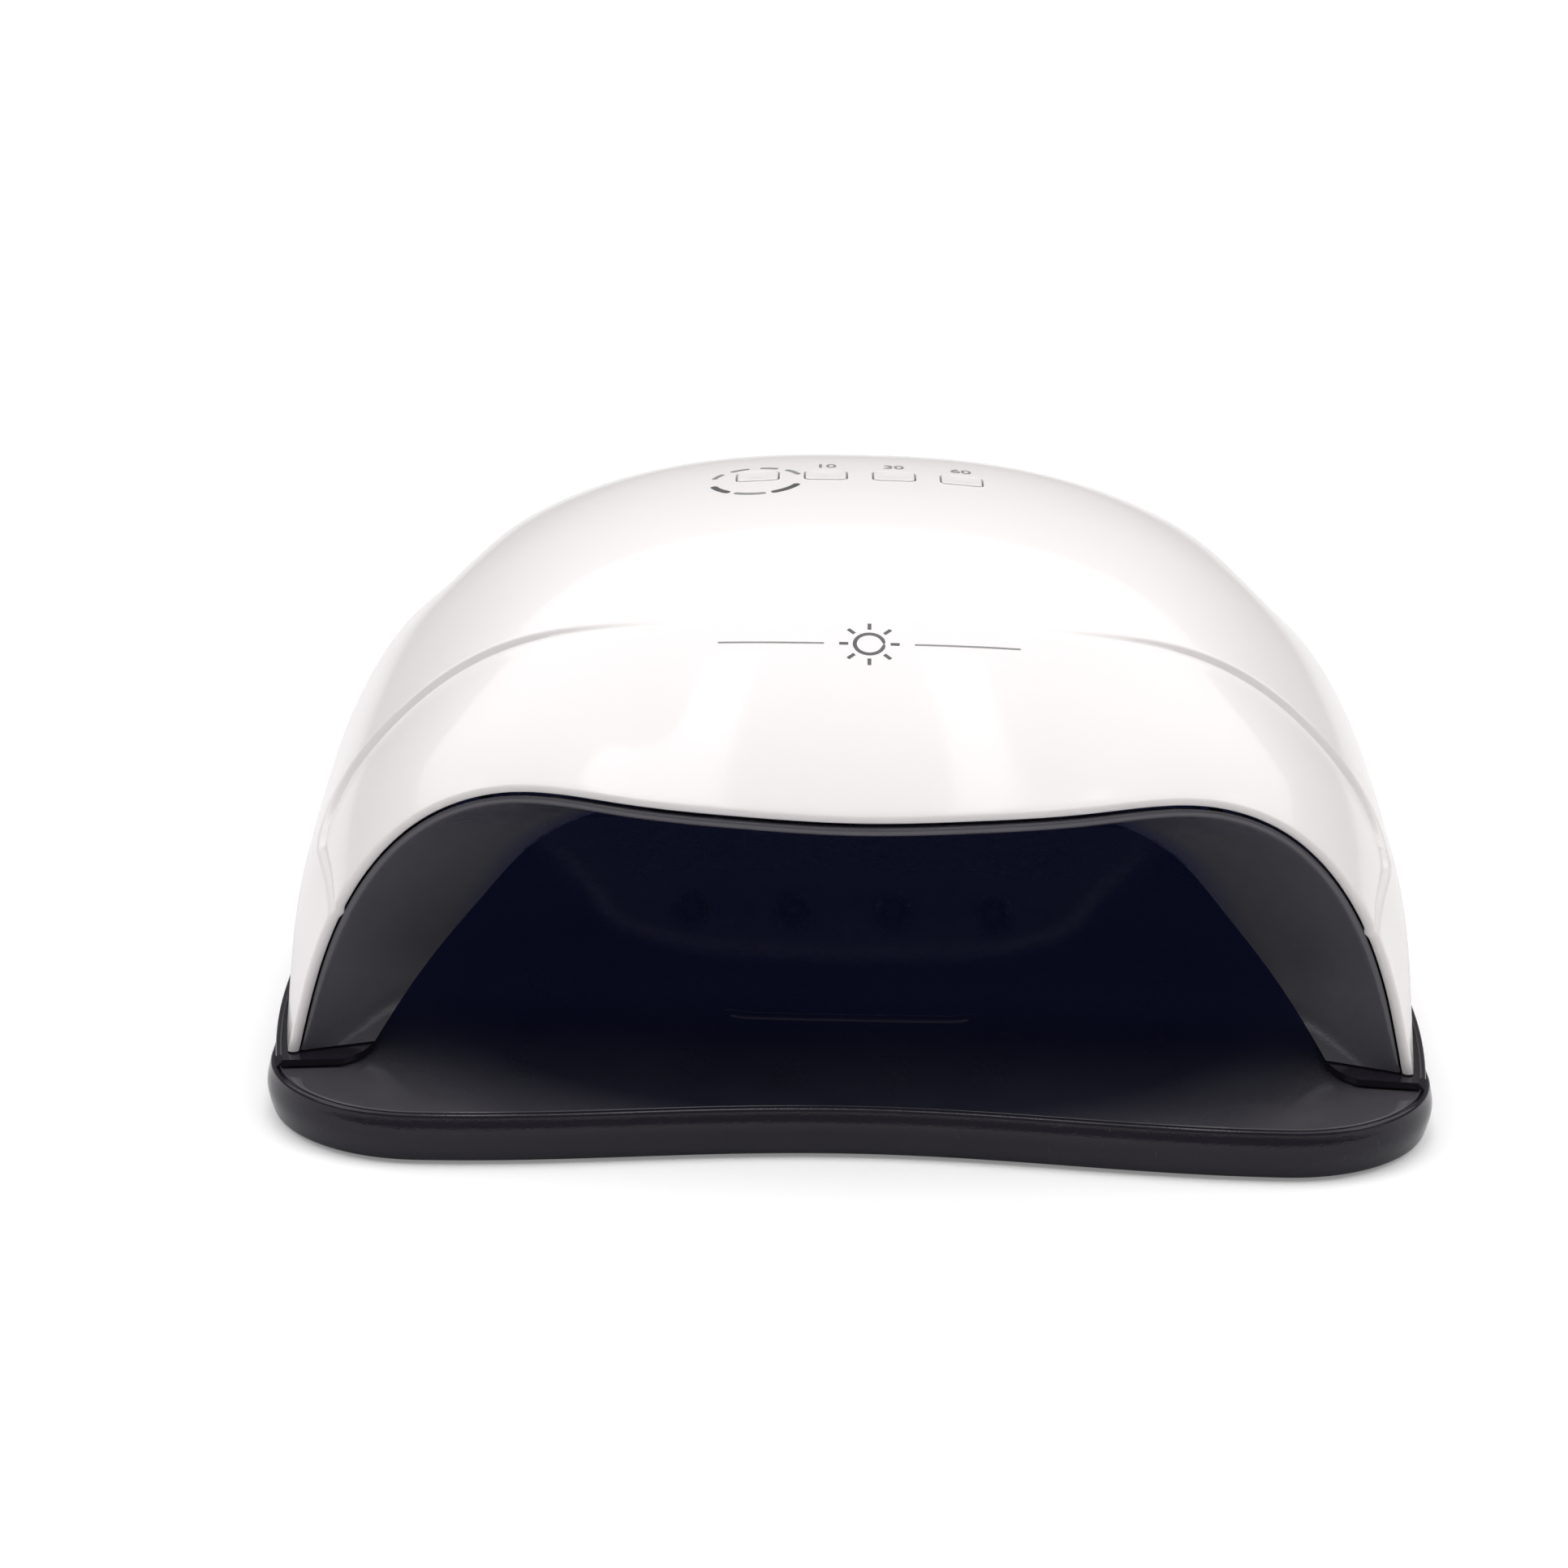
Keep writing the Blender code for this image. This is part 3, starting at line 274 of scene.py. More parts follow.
def make_scuffs():
    """Hairline scuffs: a few thin stretched streaks in two directions, as a 0..1 mask."""
    tree, start, end = effect("hairline_scuffs", [("Amount", "NodeSocketFloat", 0.5)],
                              [("Mask", "NodeSocketFloat")])
    place = node(tree, "ShaderNodeTexCoord").outputs["Object"]
    layers = []
    for turn, stretch in ((0.5, (1.0, 14.0, 3.0)), (-0.9, (16.0, 1.0, 4.0))):
        turned = node(tree, "ShaderNodeMapping", {"Vector": place, "Rotation": (0.3, 0.2, turn),
                                                  "Scale": stretch}).outputs[0]
        streaks = node(tree, "ShaderNodeTexNoise", {"Vector": turned, "Scale": 120.0,
                                                    "Detail": 2.0})
        layers.append(between(tree, streaks.outputs["Fac"], 0.70, 0.78))
    both = node(tree, "ShaderNodeMath", {0: layers[0], 1: layers[1]}, operation="MAXIMUM")
    where = node(tree, "ShaderNodeTexNoise", {"Vector": place, "Scale": 22.0, "Detail": 1.0})
    held = node(tree, "ShaderNodeMath", {0: both.outputs[0], 1: between(
        tree, where.outputs["Fac"], 0.5, 0.68)}, operation="MULTIPLY")
    out = node(tree, "ShaderNodeMath", {0: held.outputs[0], 1: start.outputs["Amount"]},
               operation="MULTIPLY")
    tree.links.new(out.outputs[0], end.inputs["Mask"])
    return tree


def make_dust():
    """Settled dust: fine specks that gather on faces that look up, as a 0..1 mask."""
    tree, start, end = effect("settled_dust", [("Amount", "NodeSocketFloat", 0.3)],
                              [("Mask", "NodeSocketFloat")])
    place = node(tree, "ShaderNodeTexCoord").outputs["Object"]
    facing = node(tree, "ShaderNodeSeparateXYZ",
                  {0: node(tree, "ShaderNodeTexCoord").outputs["Normal"]}).outputs["Z"]
    specks = node(tree, "ShaderNodeTexNoise", {"Vector": place, "Scale": 1400.0, "Detail": 2.0})
    drift = node(tree, "ShaderNodeTexNoise", {"Vector": place, "Scale": 35.0, "Detail": 5.0})
    upward = between(tree, facing, 0.35, 1.0)
    spots = node(tree, "ShaderNodeMath", {0: between(tree, specks.outputs["Fac"], 0.56, 0.72),
                                          1: between(tree, drift.outputs["Fac"], 0.4, 0.7)},
                 operation="MULTIPLY")
    gathered = node(tree, "ShaderNodeMath", {0: spots.outputs[0], 1: upward},
                    operation="MULTIPLY")
    out = node(tree, "ShaderNodeMath", {0: gathered.outputs[0], 1: start.outputs["Amount"]},
               operation="MULTIPLY")
    tree.links.new(out.outputs[0], end.inputs["Mask"])
    return tree


GRAIN, SCUFFS, DUST = make_grain(), make_scuffs(), make_dust()


def group(tree, effect_tree, **values):
    """Place a shared effect in a material with its own values."""
    made = node(tree, "ShaderNodeGroup", node_tree=effect_tree)
    for label, value in values.items():
        made.inputs[label].default_value = value
    return made


def moulded_black(name, dark, light, gloss, dull, grain_depth, dust, grain_scale=1.0):
    """Black moulded plastic: grain, patches of two blacks, hairline scuffs and a little dust.

    Known fault: the scuff mask is both factor and addend of the roughness, which therefore
    stays near 0 away from the scuffs, whatever gloss and dull are.
    """
    material, tree, shader = new_material(name, dark, gloss)
    grain = group(tree, GRAIN, Scale=grain_scale)
    scuffs = group(tree, SCUFFS, Amount=0.12)
    dusting = group(tree, DUST, Amount=dust)
    base = blend_colour(tree, between(tree, grain.outputs["Patches"], 0.35, 0.68), dark, light)
    rubbed = blend_colour(tree, scuffs.outputs["Mask"], base, (0.16, 0.16, 0.17))
    dusted = blend_colour(tree, dusting.outputs["Mask"], rubbed, (0.42, 0.41, 0.40))
    tree.links.new(dusted, shader.inputs["Base Color"])
    rough = between(tree, grain.outputs["Patches"], 0.3, 0.7, gloss, dull)
    rougher = node(tree, "ShaderNodeMath", {0: rough, 1: scuffs.outputs["Mask"],
                                            2: scuffs.outputs["Mask"]},
                   operation="MULTIPLY_ADD")
    tree.links.new(rougher.outputs[0], shader.inputs["Roughness"])
    bump = node(tree, "ShaderNodeBump", {"Height": grain.outputs["Height"], "Strength": 0.5,
                                         "Distance": grain_depth})
    tree.links.new(bump.outputs[0], shader.inputs["Normal"])
    return material


def blend_colour(tree, factor, base, colour):
    """Lay a plain colour over a coloured socket where factor is high."""
    mix = node(tree, "ShaderNodeMix", data_type="RGBA")
    colours = [socket for socket in mix.inputs if socket.type == "RGBA"]
    tree.links.new(factor, mix.inputs[0])
    if isinstance(base, bpy.types.NodeSocket):
        tree.links.new(base, colours[0])
    else:
        colours[0].default_value = (*base, 1.0)
    colours[1].default_value = (*colour, 1.0)
    return [socket for socket in mix.outputs if socket.type == "RGBA"][0]


def carve(item, tool):
    """Cut a closed tool mesh out of a piece, and keep the result as the piece's mesh."""
    step = item.modifiers.new("cut", "BOOLEAN")
    step.object, step.operation, step.solver = tool, "DIFFERENCE", "EXACT"
    bpy.context.view_layer.update()
    ready = item.evaluated_get(bpy.context.evaluated_depsgraph_get())
    item.data = bpy.data.meshes.new_from_object(ready)
    item.modifiers.clear()
    bpy.data.objects.remove(tool, do_unlink=True)


def cutter(points, faces):
    """Object for a cut, from millimetre points."""
    mesh = bpy.data.meshes.new("cutter")
    mesh.from_pydata((np.asarray(points, float).reshape(-1, 3) * MM).tolist(), [], faces)
    shape = bmesh.new()
    shape.from_mesh(mesh)
    bmesh.ops.recalc_face_normals(shape, faces=shape.faces)
    shape.to_mesh(mesh)
    shape.free()
    item = bpy.data.objects.new("cutter", mesh)
    bpy.context.collection.objects.link(item)
    return item


def prism_faces(around, layers, copies):
    """Faces of closed stacks: layers of loops with around points each, capped at both ends."""
    faces = []
    for start in range(0, copies * around * layers, around * layers):
        index = start + np.arange(around * layers).reshape(layers, around)
        beside = np.roll(index, -1, axis=1)
        faces += np.stack([index[:-1], beside[:-1], beside[1:], index[1:]],
                          axis=-1).reshape(-1, 4).tolist()
        faces += [index[0].tolist(), index[-1].tolist()]
    return faces


case_black = moulded_black("case_black", (0.011, 0.009, 0.015), (0.015, 0.013, 0.020),
                           0.34, 0.44, 0.00002, 0.05)
case_black.node_tree.nodes["Principled BSDF"].inputs["Specular IOR Level"].default_value = 0.28

pan_profile = [(2.6, PAN_BOTTOM)] + arc((2.2, PAN_BOTTOM + 1.2), 1.2, 270, 200, 8)
pan_profile += [(0.55, PAN_BOTTOM + 2.3), (0.2, 4.4), (0.02, 5.6), (0.0, 6.4), (0.1, 7.4),
                (0.35, 8.6), (0.55, 9.3)]
pan_profile += arc((1.45, PAN_TOP - 0.8), 0.8, 175, 90, 9)
pan_profile += [(1.75, PAN_TOP - 0.03), (1.9, PAN_TOP - 0.2), (1.9, PAN_LEDGE),
                (3.2, PAN_LEDGE), (3.4, PAN_BOTTOM + 2.8), (3.8, PAN_BOTTOM + 2.4)]
base_pan = surface("base_pan_moulding", stack(pan_profile), "tray", case_black)
PAN_SCREW_PLACES = np.array([(52.0, -76.0), (50.0, 88.0), (-52.0, -76.0), (-50.0, 88.0)])
COUNTERBORE_RADIUS, COUNTERBORE_TOP = 3.3, 4.3


def round_posts(places, radius, low, high, sides=32):
    """Closed round posts at places, from low to high, as points and faces."""
    turn = np.linspace(0, 2 * math.pi, sides, endpoint=False)
    ring = np.stack([radius * np.cos(turn), radius * np.sin(turn)], axis=1)
    points = np.empty((len(places), 2, sides, 3))
    points[..., :2] = np.asarray(places)[:, None, None, :] + ring
    points[:, 0, :, 2], points[:, 1, :, 2] = low, high
    return points, prism_faces(sides, 2, len(places))


carve(base_pan, cutter(*round_posts(PAN_SCREW_PLACES, COUNTERBORE_RADIUS, 0.0,
                                    COUNTERBORE_TOP)))
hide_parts("base_pan")

# ---------------------------------------------------------------------------------------------
# Feet. Four soft black rubber discs, glued under the pan so that the lamp doesn't slide. Their
# faces have fine turned rings.

FOOT_RADIUS, FOOT_PLACES = 8.0, np.array([(88.0, -84.0), (68.0, 72.0), (-88.0, -84.0),
                                          (-68.0, 72.0)])


def turned(profile, seats, sides=48):
    """Rings of a profile (radius, height) turned about its own axis, set at each seat.

    A seat is a 4 x 4 matrix that carries the axis +Z to its place in millimetres.
    """
    profile = np.asarray(profile, float)
    turn = np.linspace(0, 2 * math.pi, sides, endpoint=False)
    local = np.stack([profile[:, :1] * np.cos(turn), profile[:, :1] * np.sin(turn),
                      np.broadcast_to(profile[:, 1:], (len(profile), sides)),
                      np.ones((len(profile), sides))], axis=-1)
    return np.einsum("sij,rcj->srci", np.asarray(seats), local)[..., :3]


def upright(x, y, z=0.0, flip=1.0):
    """Seat at a place, with its axis up, or down when flip is -1."""
    seat = np.diag([1.0, flip, flip, 1.0])
    seat[:3, 3] = x, y, z
    return seat


def turned_piece(name, profile, seats, body, material, sides=48, sharp=40.0):
    """Solids of revolution at several seats, as one piece."""
    points = turned(profile, seats, sides)
    mesh = bpy.data.meshes.new(name)
    mesh.from_pydata((points.reshape(-1, 3) * MM).tolist(), [],
                     prism_faces(sides, len(profile), len(seats)))
    return place_mesh(name, mesh, body, material, sharp)


def soft_rubber(name):
    """Black rubber: matt, paler in patches, with dust in its grain."""
    material, tree, shader = new_material(name, (0.028, 0.028, 0.029), 0.82)
    grain = group(tree, GRAIN, Scale=0.6)
    dusting = group(tree, DUST, Amount=0.5)
    patchy = blend_colour(tree, between(tree, grain.outputs["Patches"], 0.4, 0.7),
                          (0.024, 0.024, 0.025), (0.040, 0.040, 0.041))
    tree.links.new(blend_colour(tree, dusting.outputs["Mask"], patchy, (0.25, 0.24, 0.23)),
                   shader.inputs["Base Color"])
    bump = node(tree, "ShaderNodeBump", {"Height": grain.outputs["Height"], "Strength": 0.7,
                                         "Distance": 0.00006})
    tree.links.new(bump.outputs[0], shader.inputs["Normal"])
    return material


foot_rubber = soft_rubber("foot_rubber")
ring_radii = np.linspace(7.3, 0.6, 45)
foot_face = np.column_stack([ring_radii, 0.10 + 0.10 * np.cos(ring_radii * 2 * math.pi / 1.1)])
foot_profile = [(0.0, 1.2), (8.0, 1.2), (8.0, 0.5), (7.85, 0.2)] + foot_face.tolist() + [(0, 0)]
for (x, y), where in zip(FOOT_PLACES, ("front_right", "rear_right", "front_left", "rear_left")):
    foot = turned_piece(f"rubber_foot_{where}", foot_profile, [upright(x, y)], "tray",
                        foot_rubber)
    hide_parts(f"foot_{where}")

# ---------------------------------------------------------------------------------------------
# Tray screws. Pan-head self-tapping screws with a cross recess, plated steel, driven from below
# through the pan into the bosses of the floor plate.


def screw_grid(head_low, head_high, tip):
    """Closed rings of a cross-head screw that points up: recess, head, then shank and tip.

    The recess is a cross whose arms are 0.84 wide and 3.2 long, and it tapers as it deepens.
    """
    turn = np.linspace(0, 2 * math.pi, 64, endpoint=False)
    radii = np.concatenate([np.linspace(0.0, 2.2, 23), [2.4, 2.6, 2.7]])
    x, y = radii[:, None] * np.cos(turn), radii[:, None] * np.sin(turn)
    narrow, long = np.minimum(np.abs(x), np.abs(y)), np.maximum(np.abs(x), np.abs(y))
    recess = (np.clip((0.50 - narrow) / 0.16, 0, 1) * np.clip((1.7 - long) / 0.5, 0, 1))
    face = head_low + 0.55 * (radii[:, None] / 2.7) ** 3.0 + 1.1 * recess
    head = np.stack([x, y, face], axis=-1)
    steps = [(2.7, head_high), (1.1, head_high), (1.1, tip - 1.0), (0.3, tip)]
    rest = [np.stack([r * np.cos(turn), r * np.sin(turn), np.full(64, z)], axis=-1)
            for r, z in steps]
    return np.concatenate([head, np.array(rest)])


def plated_metal(name, colour, roughness):
    """Plated metal: a fine grain in the roughness, and a duller film in patches."""
    material, tree, shader = new_material(name, colour, roughness, 1.0)
    place = node(tree, "ShaderNodeTexCoord").outputs["Object"]
    fine = node(tree, "ShaderNodeTexNoise", {"Vector": place, "Scale": 1800.0, "Detail": 3.0})
    film = node(tree, "ShaderNodeTexNoise", {"Vector": place, "Scale": 300.0, "Detail": 2.0})
    darker = tuple(0.62 * part for part in colour)
    tree.links.new(blend_colour(tree, between(tree, film.outputs["Fac"], 0.45, 0.75), colour,
                                darker), shader.inputs["Base Color"])
    tree.links.new(between(tree, fine.outputs["Fac"], 0.3, 0.7, roughness, roughness + 0.2),
                   shader.inputs["Roughness"])
    bump = node(tree, "ShaderNodeBump", {"Height": fine.outputs["Fac"], "Strength": 0.2,
                                         "Distance": 0.00001})
    tree.links.new(bump.outputs[0], shader.inputs["Normal"])
    return material


screw_steel = plated_metal("screw_steel", (0.52, 0.52, 0.53), 0.28)


def screw_piece(name, x, y, head_low, head_high, tip, body, replaced):
    """One screw at a place, standing for its CAD node."""
    grid = screw_grid(head_low, head_high, tip) + (x, y, 0.0)
    piece = surface(name, grid, body, screw_steel, sharp=30.0)
    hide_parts(replaced)


for (x, y), where in zip(PAN_SCREW_PLACES,
                         ("front_right", "rear_right", "front_left", "rear_left")):
    screw_piece(f"pan_screw_{where}", x, y, 2.0, 4.0, 9.6, "tray", f"tray_screw_{where}")

# ---------------------------------------------------------------------------------------------
# Floor plate. A satin black lid that the hand rests on. It drops into the rim of the pan, level
# with it, so that a fine gap runs round the top. It is screwed on from below.

FLOOR_UNDER, FLOOR_TOP, FLOOR_INSET = 9.3, 10.7, 2.2

floor_profile = [(4.0, FLOOR_UNDER), (FLOOR_INSET, FLOOR_UNDER)]
floor_profile += arc((FLOOR_INSET + 0.35, FLOOR_TOP - 0.35), 0.35, 180, 90, 6)
floor_profile += [(3.4, FLOOR_TOP), (6.0, FLOOR_TOP)]


def floor_black_painted_light(name):
    """Black plate, paler away from its middle, with a faint blue afterglow inside.

    The paler zone and the afterglow stand in for light on the plate; a real one has neither.
    """
    material = moulded_black(name, (0.010, 0.010, 0.017), (0.014, 0.014, 0.023), 0.23, 0.31,
                             0.00001, 0.02, 0.8)
    tree = material.node_tree
    shader = tree.nodes["Principled BSDF"]
    place = node(tree, "ShaderNodeTexCoord").outputs["Object"]
    oval = node(tree, "ShaderNodeMapping", {"Vector": place, "Location": (0, 0.045, 0),
                                            "Scale": (0.72, 1.0, 0)}).outputs[0]
    from_middle = node(tree, "ShaderNodeVectorMath", {0: oval},
                       operation="LENGTH").outputs["Value"]
    cloud = node(tree, "ShaderNodeTexNoise", {"Vector": place, "Scale": 60.0, "Detail": 5.0})
    patchy = between(tree, cloud.outputs["Fac"], 0.25, 0.7, 0.65, 1.0)
    # Painted light: the plate is painted paler away from its middle, in patches.
    spread = node(tree, "ShaderNodeMath", {0: between(tree, from_middle, 0.060, 0.086),
                                           1: patchy}, operation="MULTIPLY").outputs[0]
    base = shader.inputs["Base Color"].links[0].from_socket
    tree.links.new(blend_colour(tree, spread, base, (0.070, 0.066, 0.074)),
                   shader.inputs["Base Color"])
    shader.inputs["Specular IOR Level"].default_value = 0.3
    # Painted glow: a faint blue emission inside the mouth, though the plate is no lamp.
    way_in = node(tree, "ShaderNodeSeparateXYZ", {0: place}).outputs["Y"]
    tree.links.new(blend_colour(tree, between(tree, way_in, -0.088, -0.040), (0.0, 0.0, 0.0),
                                (0.0018, 0.0024, 0.0082)), shader.inputs["Emission Color"])
    shader.inputs["Emission Strength"].default_value = 1.0
    return material


floor_black = floor_black_painted_light("floor_black")
floor_plate = surface("floor_plate_moulding", stack(floor_profile), "tray",
                      floor_black)
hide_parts("floor_plate")

# ---------------------------------------------------------------------------------------------
# Finger rib. A low rounded rib moulded on the floor plate, straight across with its ends turned
# back, so that the fingertips find their place under the lamps.


def spline(points, fractions):
    """Natural cubic spline through points, read at fractions of its chord length."""
    points = np.asarray(points, float)
    knots = np.concatenate([[0.0], np.cumsum(np.linalg.norm(np.diff(points, axis=0), axis=1))])
    gaps = np.diff(knots)
    count = len(points)
    system = np.eye(count)
    target = np.zeros_like(points)
    inside = np.arange(1, count - 1)
    system[inside, inside - 1], system[inside, inside + 1] = gaps[:-1], gaps[1:]
    system[inside, inside] = 2 * (gaps[:-1] + gaps[1:])
    slopes = np.diff(points, axis=0) / gaps[:, None]
    target[inside] = 6 * np.diff(slopes, axis=0)
    bend = np.linalg.solve(system, target)
    at = np.asarray(fractions, float) * knots[-1]
    k = np.clip(np.searchsorted(knots, at, side="right") - 1, 0, count - 2)
    ahead, behind = (knots[k + 1] - at)[..., None], (at - knots[k])[..., None]
    gap = gaps[k][..., None]
    return ((bend[k] * ahead ** 3 + bend[k + 1] * behind ** 3) / (6 * gap)
            + (points[k] / gap - bend[k] * gap / 6) * ahead
            + (points[k + 1] / gap - bend[k + 1] * gap / 6) * behind)


RIB_ROUTE = [(-25.6, -51.6), (-23.6, -53.8), (-19.0, -54.8), (0.0, -55.0),
             (19.0, -54.8), (23.6, -53.8), (25.6, -51.6)]


def rib_grid():
    """Half-round section along the route; the section shrinks to a point at both ends."""
    route = spline(RIB_ROUTE, np.linspace(0, 1, 90))
    along = np.gradient(route, axis=0)
    side = np.stack([-along[:, 1], along[:, 0]], axis=1)
    side /= np.linalg.norm(side, axis=1, keepdims=True)
    reach = np.minimum(np.linspace(0, 1, 90), np.linspace(1, 0, 90)) * 90 / 5.0
    size = np.sqrt(np.clip(1 - (1 - np.clip(reach, 0, 1)) ** 2, 1e-6, 1))
    turn = np.linspace(0, math.pi, 13)
    offset = 1.4 * np.cos(turn)[None, :] * size[:, None]
    lift = 0.85 * np.sin(turn)[None, :] * size[:, None]
    top = np.concatenate([route[:, None, :] + side[:, None, :] * offset[..., None],
                          (FLOOR_TOP + lift)[..., None]], axis=2)
    foot = top[:, ::-1][:, (0, -1)].copy()
    foot[..., 2] = FLOOR_TOP - 0.5
    return np.concatenate([top, foot], axis=1)


finger_rib = surface("finger_rib", rib_grid(), "tray", floor_black, sharp=70.0)

# ---------------------------------------------------------------------------------------------
# Magnets. Nickel-plated discs in pockets of the tray and the frame. They pull the housing onto
# its tray, and it lifts off for cleaning.

magnet_plating = plated_metal("magnet_plating", (0.60, 0.58, 0.54), 0.22)
for name in nodes:
    if "magnet" in name:
        nodes[name].material_slots[0].material = magnet_plating

# ---------------------------------------------------------------------------------------------
# Base frame. A black horseshoe that carries the dome and the liner and sits on the tray. A low
# lip stands round the foot of the dome, and two screws on each side hold the dome to it.

FRAME_BOTTOM, FRAME_TOP, FRAME_CLEAR, UPSTAND_WALL = 11.25, 12.6, 0.45, 1.15
RIM_Z, DOME_HALF_WIDTH, DOME_REAR_Y = 12.9, 114.9, 109.4
FRONT_TUCK, TUCK_FROM_Y, DOME_FRONT_Y = 0.0252, -50.0, -90.0
MOUTH_FOOT, MOUTH_FOOT_Y, CHAMBER_REAR_Y, CHAMBER_POWER = 95.3, -78.0, 78.0, 8


def dome_half_width(y):
    """Half width at the rim: nearly straight ahead of the centre, a power 2.5 curve behind."""
    reach = DOME_REAR_Y - REAR_CENTRE_Y
    rear = np.clip(1 - np.abs((y - REAR_CENTRE_Y) / reach) ** 2.5, 0, None) ** 0.4
    tuck = np.clip(TUCK_FROM_Y - y, 0, None) / (TUCK_FROM_Y - DOME_FRONT_Y)
    return DOME_HALF_WIDTH * np.where(y < REAR_CENTRE_Y, 1 - FRONT_TUCK * tuck ** 2, rear)


def even(path, count):
    """The path read again at count points an equal length apart."""
    length = np.concatenate([[0.0], np.cumsum(np.linalg.norm(np.diff(path, axis=0), axis=1))])
    at = np.linspace(0.0, length[-1], count)
    return np.stack([np.interp(at, length, path[:, k]) for k in range(2)], axis=1)


def frame_paths(count):
    """Outer and inner edge of the horseshoe, each from the front right round the rear."""
    spread = FRAME_CLEAR + UPSTAND_WALL
    y = np.linspace(-88.5, REAR_CENTRE_Y, 60)[:-1]
    turn = np.linspace(0, math.pi / 2, 200)
    rear = np.stack([(DOME_HALF_WIDTH + spread) * np.cos(turn) ** 0.8, REAR_CENTRE_Y
                     + (DOME_REAR_Y + spread - REAR_CENTRE_Y) * np.sin(turn) ** 0.8], axis=1)
    outer = np.concatenate([np.stack([dome_half_width(y) + spread, y], axis=1), rear])
    power = 2 / CHAMBER_POWER
    inner = np.stack([MOUTH_FOOT * np.cos(turn) ** power, MOUTH_FOOT_Y
                      + (CHAMBER_REAR_Y - MOUTH_FOOT_Y) * np.sin(turn) ** power], axis=1)
    inner = np.concatenate([[(101.0, -87.0), (97.5, -83.5)], inner])
    return [even(np.concatenate([half, half[-2::-1] * (-1, 1)]), count)
            for half in (outer, inner)]


def frame_grid(count):
    """Section of the frame carried along both edges: a flat plate with a lip outside it.

    The section is a closed loop of (share across, height) pairs: share 0 is the inner edge,
    and the lip's corners are rounded by quarter arcs.
    """
    outer, inner = frame_paths(count)
    toward = np.gradient(outer, axis=0)
    toward = np.stack([-toward[:, 1], toward[:, 0]], axis=1)
    toward /= np.linalg.norm(toward, axis=1, keepdims=True)
    lip_top = RIM_Z + 0.9
    in_from_outer = [(0.35, FRAME_BOTTOM), (0.1, FRAME_BOTTOM + 0.1), (0.0, FRAME_BOTTOM + 0.35),
                     (0.0, lip_top - 0.4), (0.07, lip_top - 0.17), (0.24, lip_top - 0.04),
                     (0.45, lip_top), (0.8, lip_top), (1.0, lip_top - 0.06),
                     (UPSTAND_WALL, lip_top - 0.22), (UPSTAND_WALL, FRAME_TOP)]
    rows = [np.column_stack([inner, np.full(count, FRAME_TOP)]),
            np.column_stack([inner, np.full(count, FRAME_BOTTOM)])]
    rows += [np.column_stack([outer + toward * inset, np.full(count, height)])
             for inset, height in in_from_outer]
    return np.array(rows).transpose(1, 0, 2)


base_frame = surface("base_frame_moulding", frame_grid(361), "housing",
                     case_black)
FRAME_SCREW_PLACES = np.array([(105.5, -25.0), (62.0, 89.0), (-105.5, -25.0), (-62.0, 89.0)])
carve(base_frame, cutter(*round_posts(FRAME_SCREW_PLACES, 3.1, 10.0, 12.4)))
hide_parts("base_frame")
for (x, y), where in zip(FRAME_SCREW_PLACES,
                         ("front_right", "rear_right", "front_left", "rear_left")):
    screw_piece(f"housing_screw_{where}", x, y, 11.55, 12.35, 20.0, "housing",
                f"frame_screw_{where}")

# ---------------------------------------------------------------------------------------------
# Dome. One white injection moulding with a pearl lustre and a hard gloss. Its front is a hood
# with a waved edge, a brow line steps down to the visor on each side, and shallow scoops on the
# shoulders give the fingers a grip when the housing is lifted off its tray.

DOME_TOP, WALL, DOME_PEAK_Y, ARCH_POWER = 110.8, 2.2, 2.0, 2.45
DOME_FRONT_REACH, SIDE_SHARE, TOP_SHARE = 118.0, 0.14, 0.42
HOOD_EDGE = [(112.0, RIM_Z), (110.3, 20.4), (107.2, 32.0), (102.6, 43.8), (95.4, 55.5),
             (84.2, 65.9), (68.0, 71.8), (45.0, 70.8), (22.0, 69.3), (0.0, 68.6)]
HOOD_SIDE_Y, HOOD_BOW = -84.0, 12.0
VISOR_STEP, VISOR_GROOVE, VISOR_DEPTH_T, VISOR_LOW_DEGREES = 1.2, 0.5, 0.125, 19.0
DEGREES_PER_LENGTH, VISOR_CORNER, VISOR_FULL_T = 260.0, 0.045, 0.11
VISOR_FADE_FROM, VISOR_FADE_OVER = 72.0, 26.0
BROW_WIDTH, GROOVE_PLACE, GROOVE_WIDTH = 0.0040, 0.0030, 0.0018
SCOOP_PLACE, SCOOP_REACH, SCOOP_DEPTH = (88.5, 26.0, 83.5), (14.0, 22.0, 9.0), 1.8


def mirrored(half):
    """Full outline from its right half, which ends on the centre line."""
    return half + [(-x, z) for x, z in half[-2::-1]]


def smoothstep(value):
    """Smooth rise from 0 to 1 while value goes from 0 to 1, level outside."""
    value = np.clip(value, 0.0, 1.0)
    return value * value * (3 - 2 * value)


def dome_crown(y):
    """Height over the rim on the centre line: a circle-like front and a power 2.3 rear."""
    ahead = np.clip(1 - np.abs((y - DOME_PEAK_Y) / DOME_FRONT_REACH) ** 2, 0, None) ** 0.5
    reach = DOME_REAR_Y - DOME_PEAK_Y
    behind = np.clip(1 - np.abs((y - DOME_PEAK_Y) / reach) ** 2.3, 0, None) ** (1 / 2.3)
    return (DOME_TOP - RIM_Z) * np.where(y < DOME_PEAK_Y, ahead, behind)


def dome_arch(theta, y):
    """Cross-section at y: a superellipse standing on the rim plane."""
    across, high = np.cos(theta), np.abs(np.sin(theta))
    x = dome_half_width(y) * np.sign(across) * np.abs(across) ** (2 / ARCH_POWER)
    return np.stack([x, y, RIM_Z + dome_crown(y) * high ** (2 / ARCH_POWER)], axis=-1)


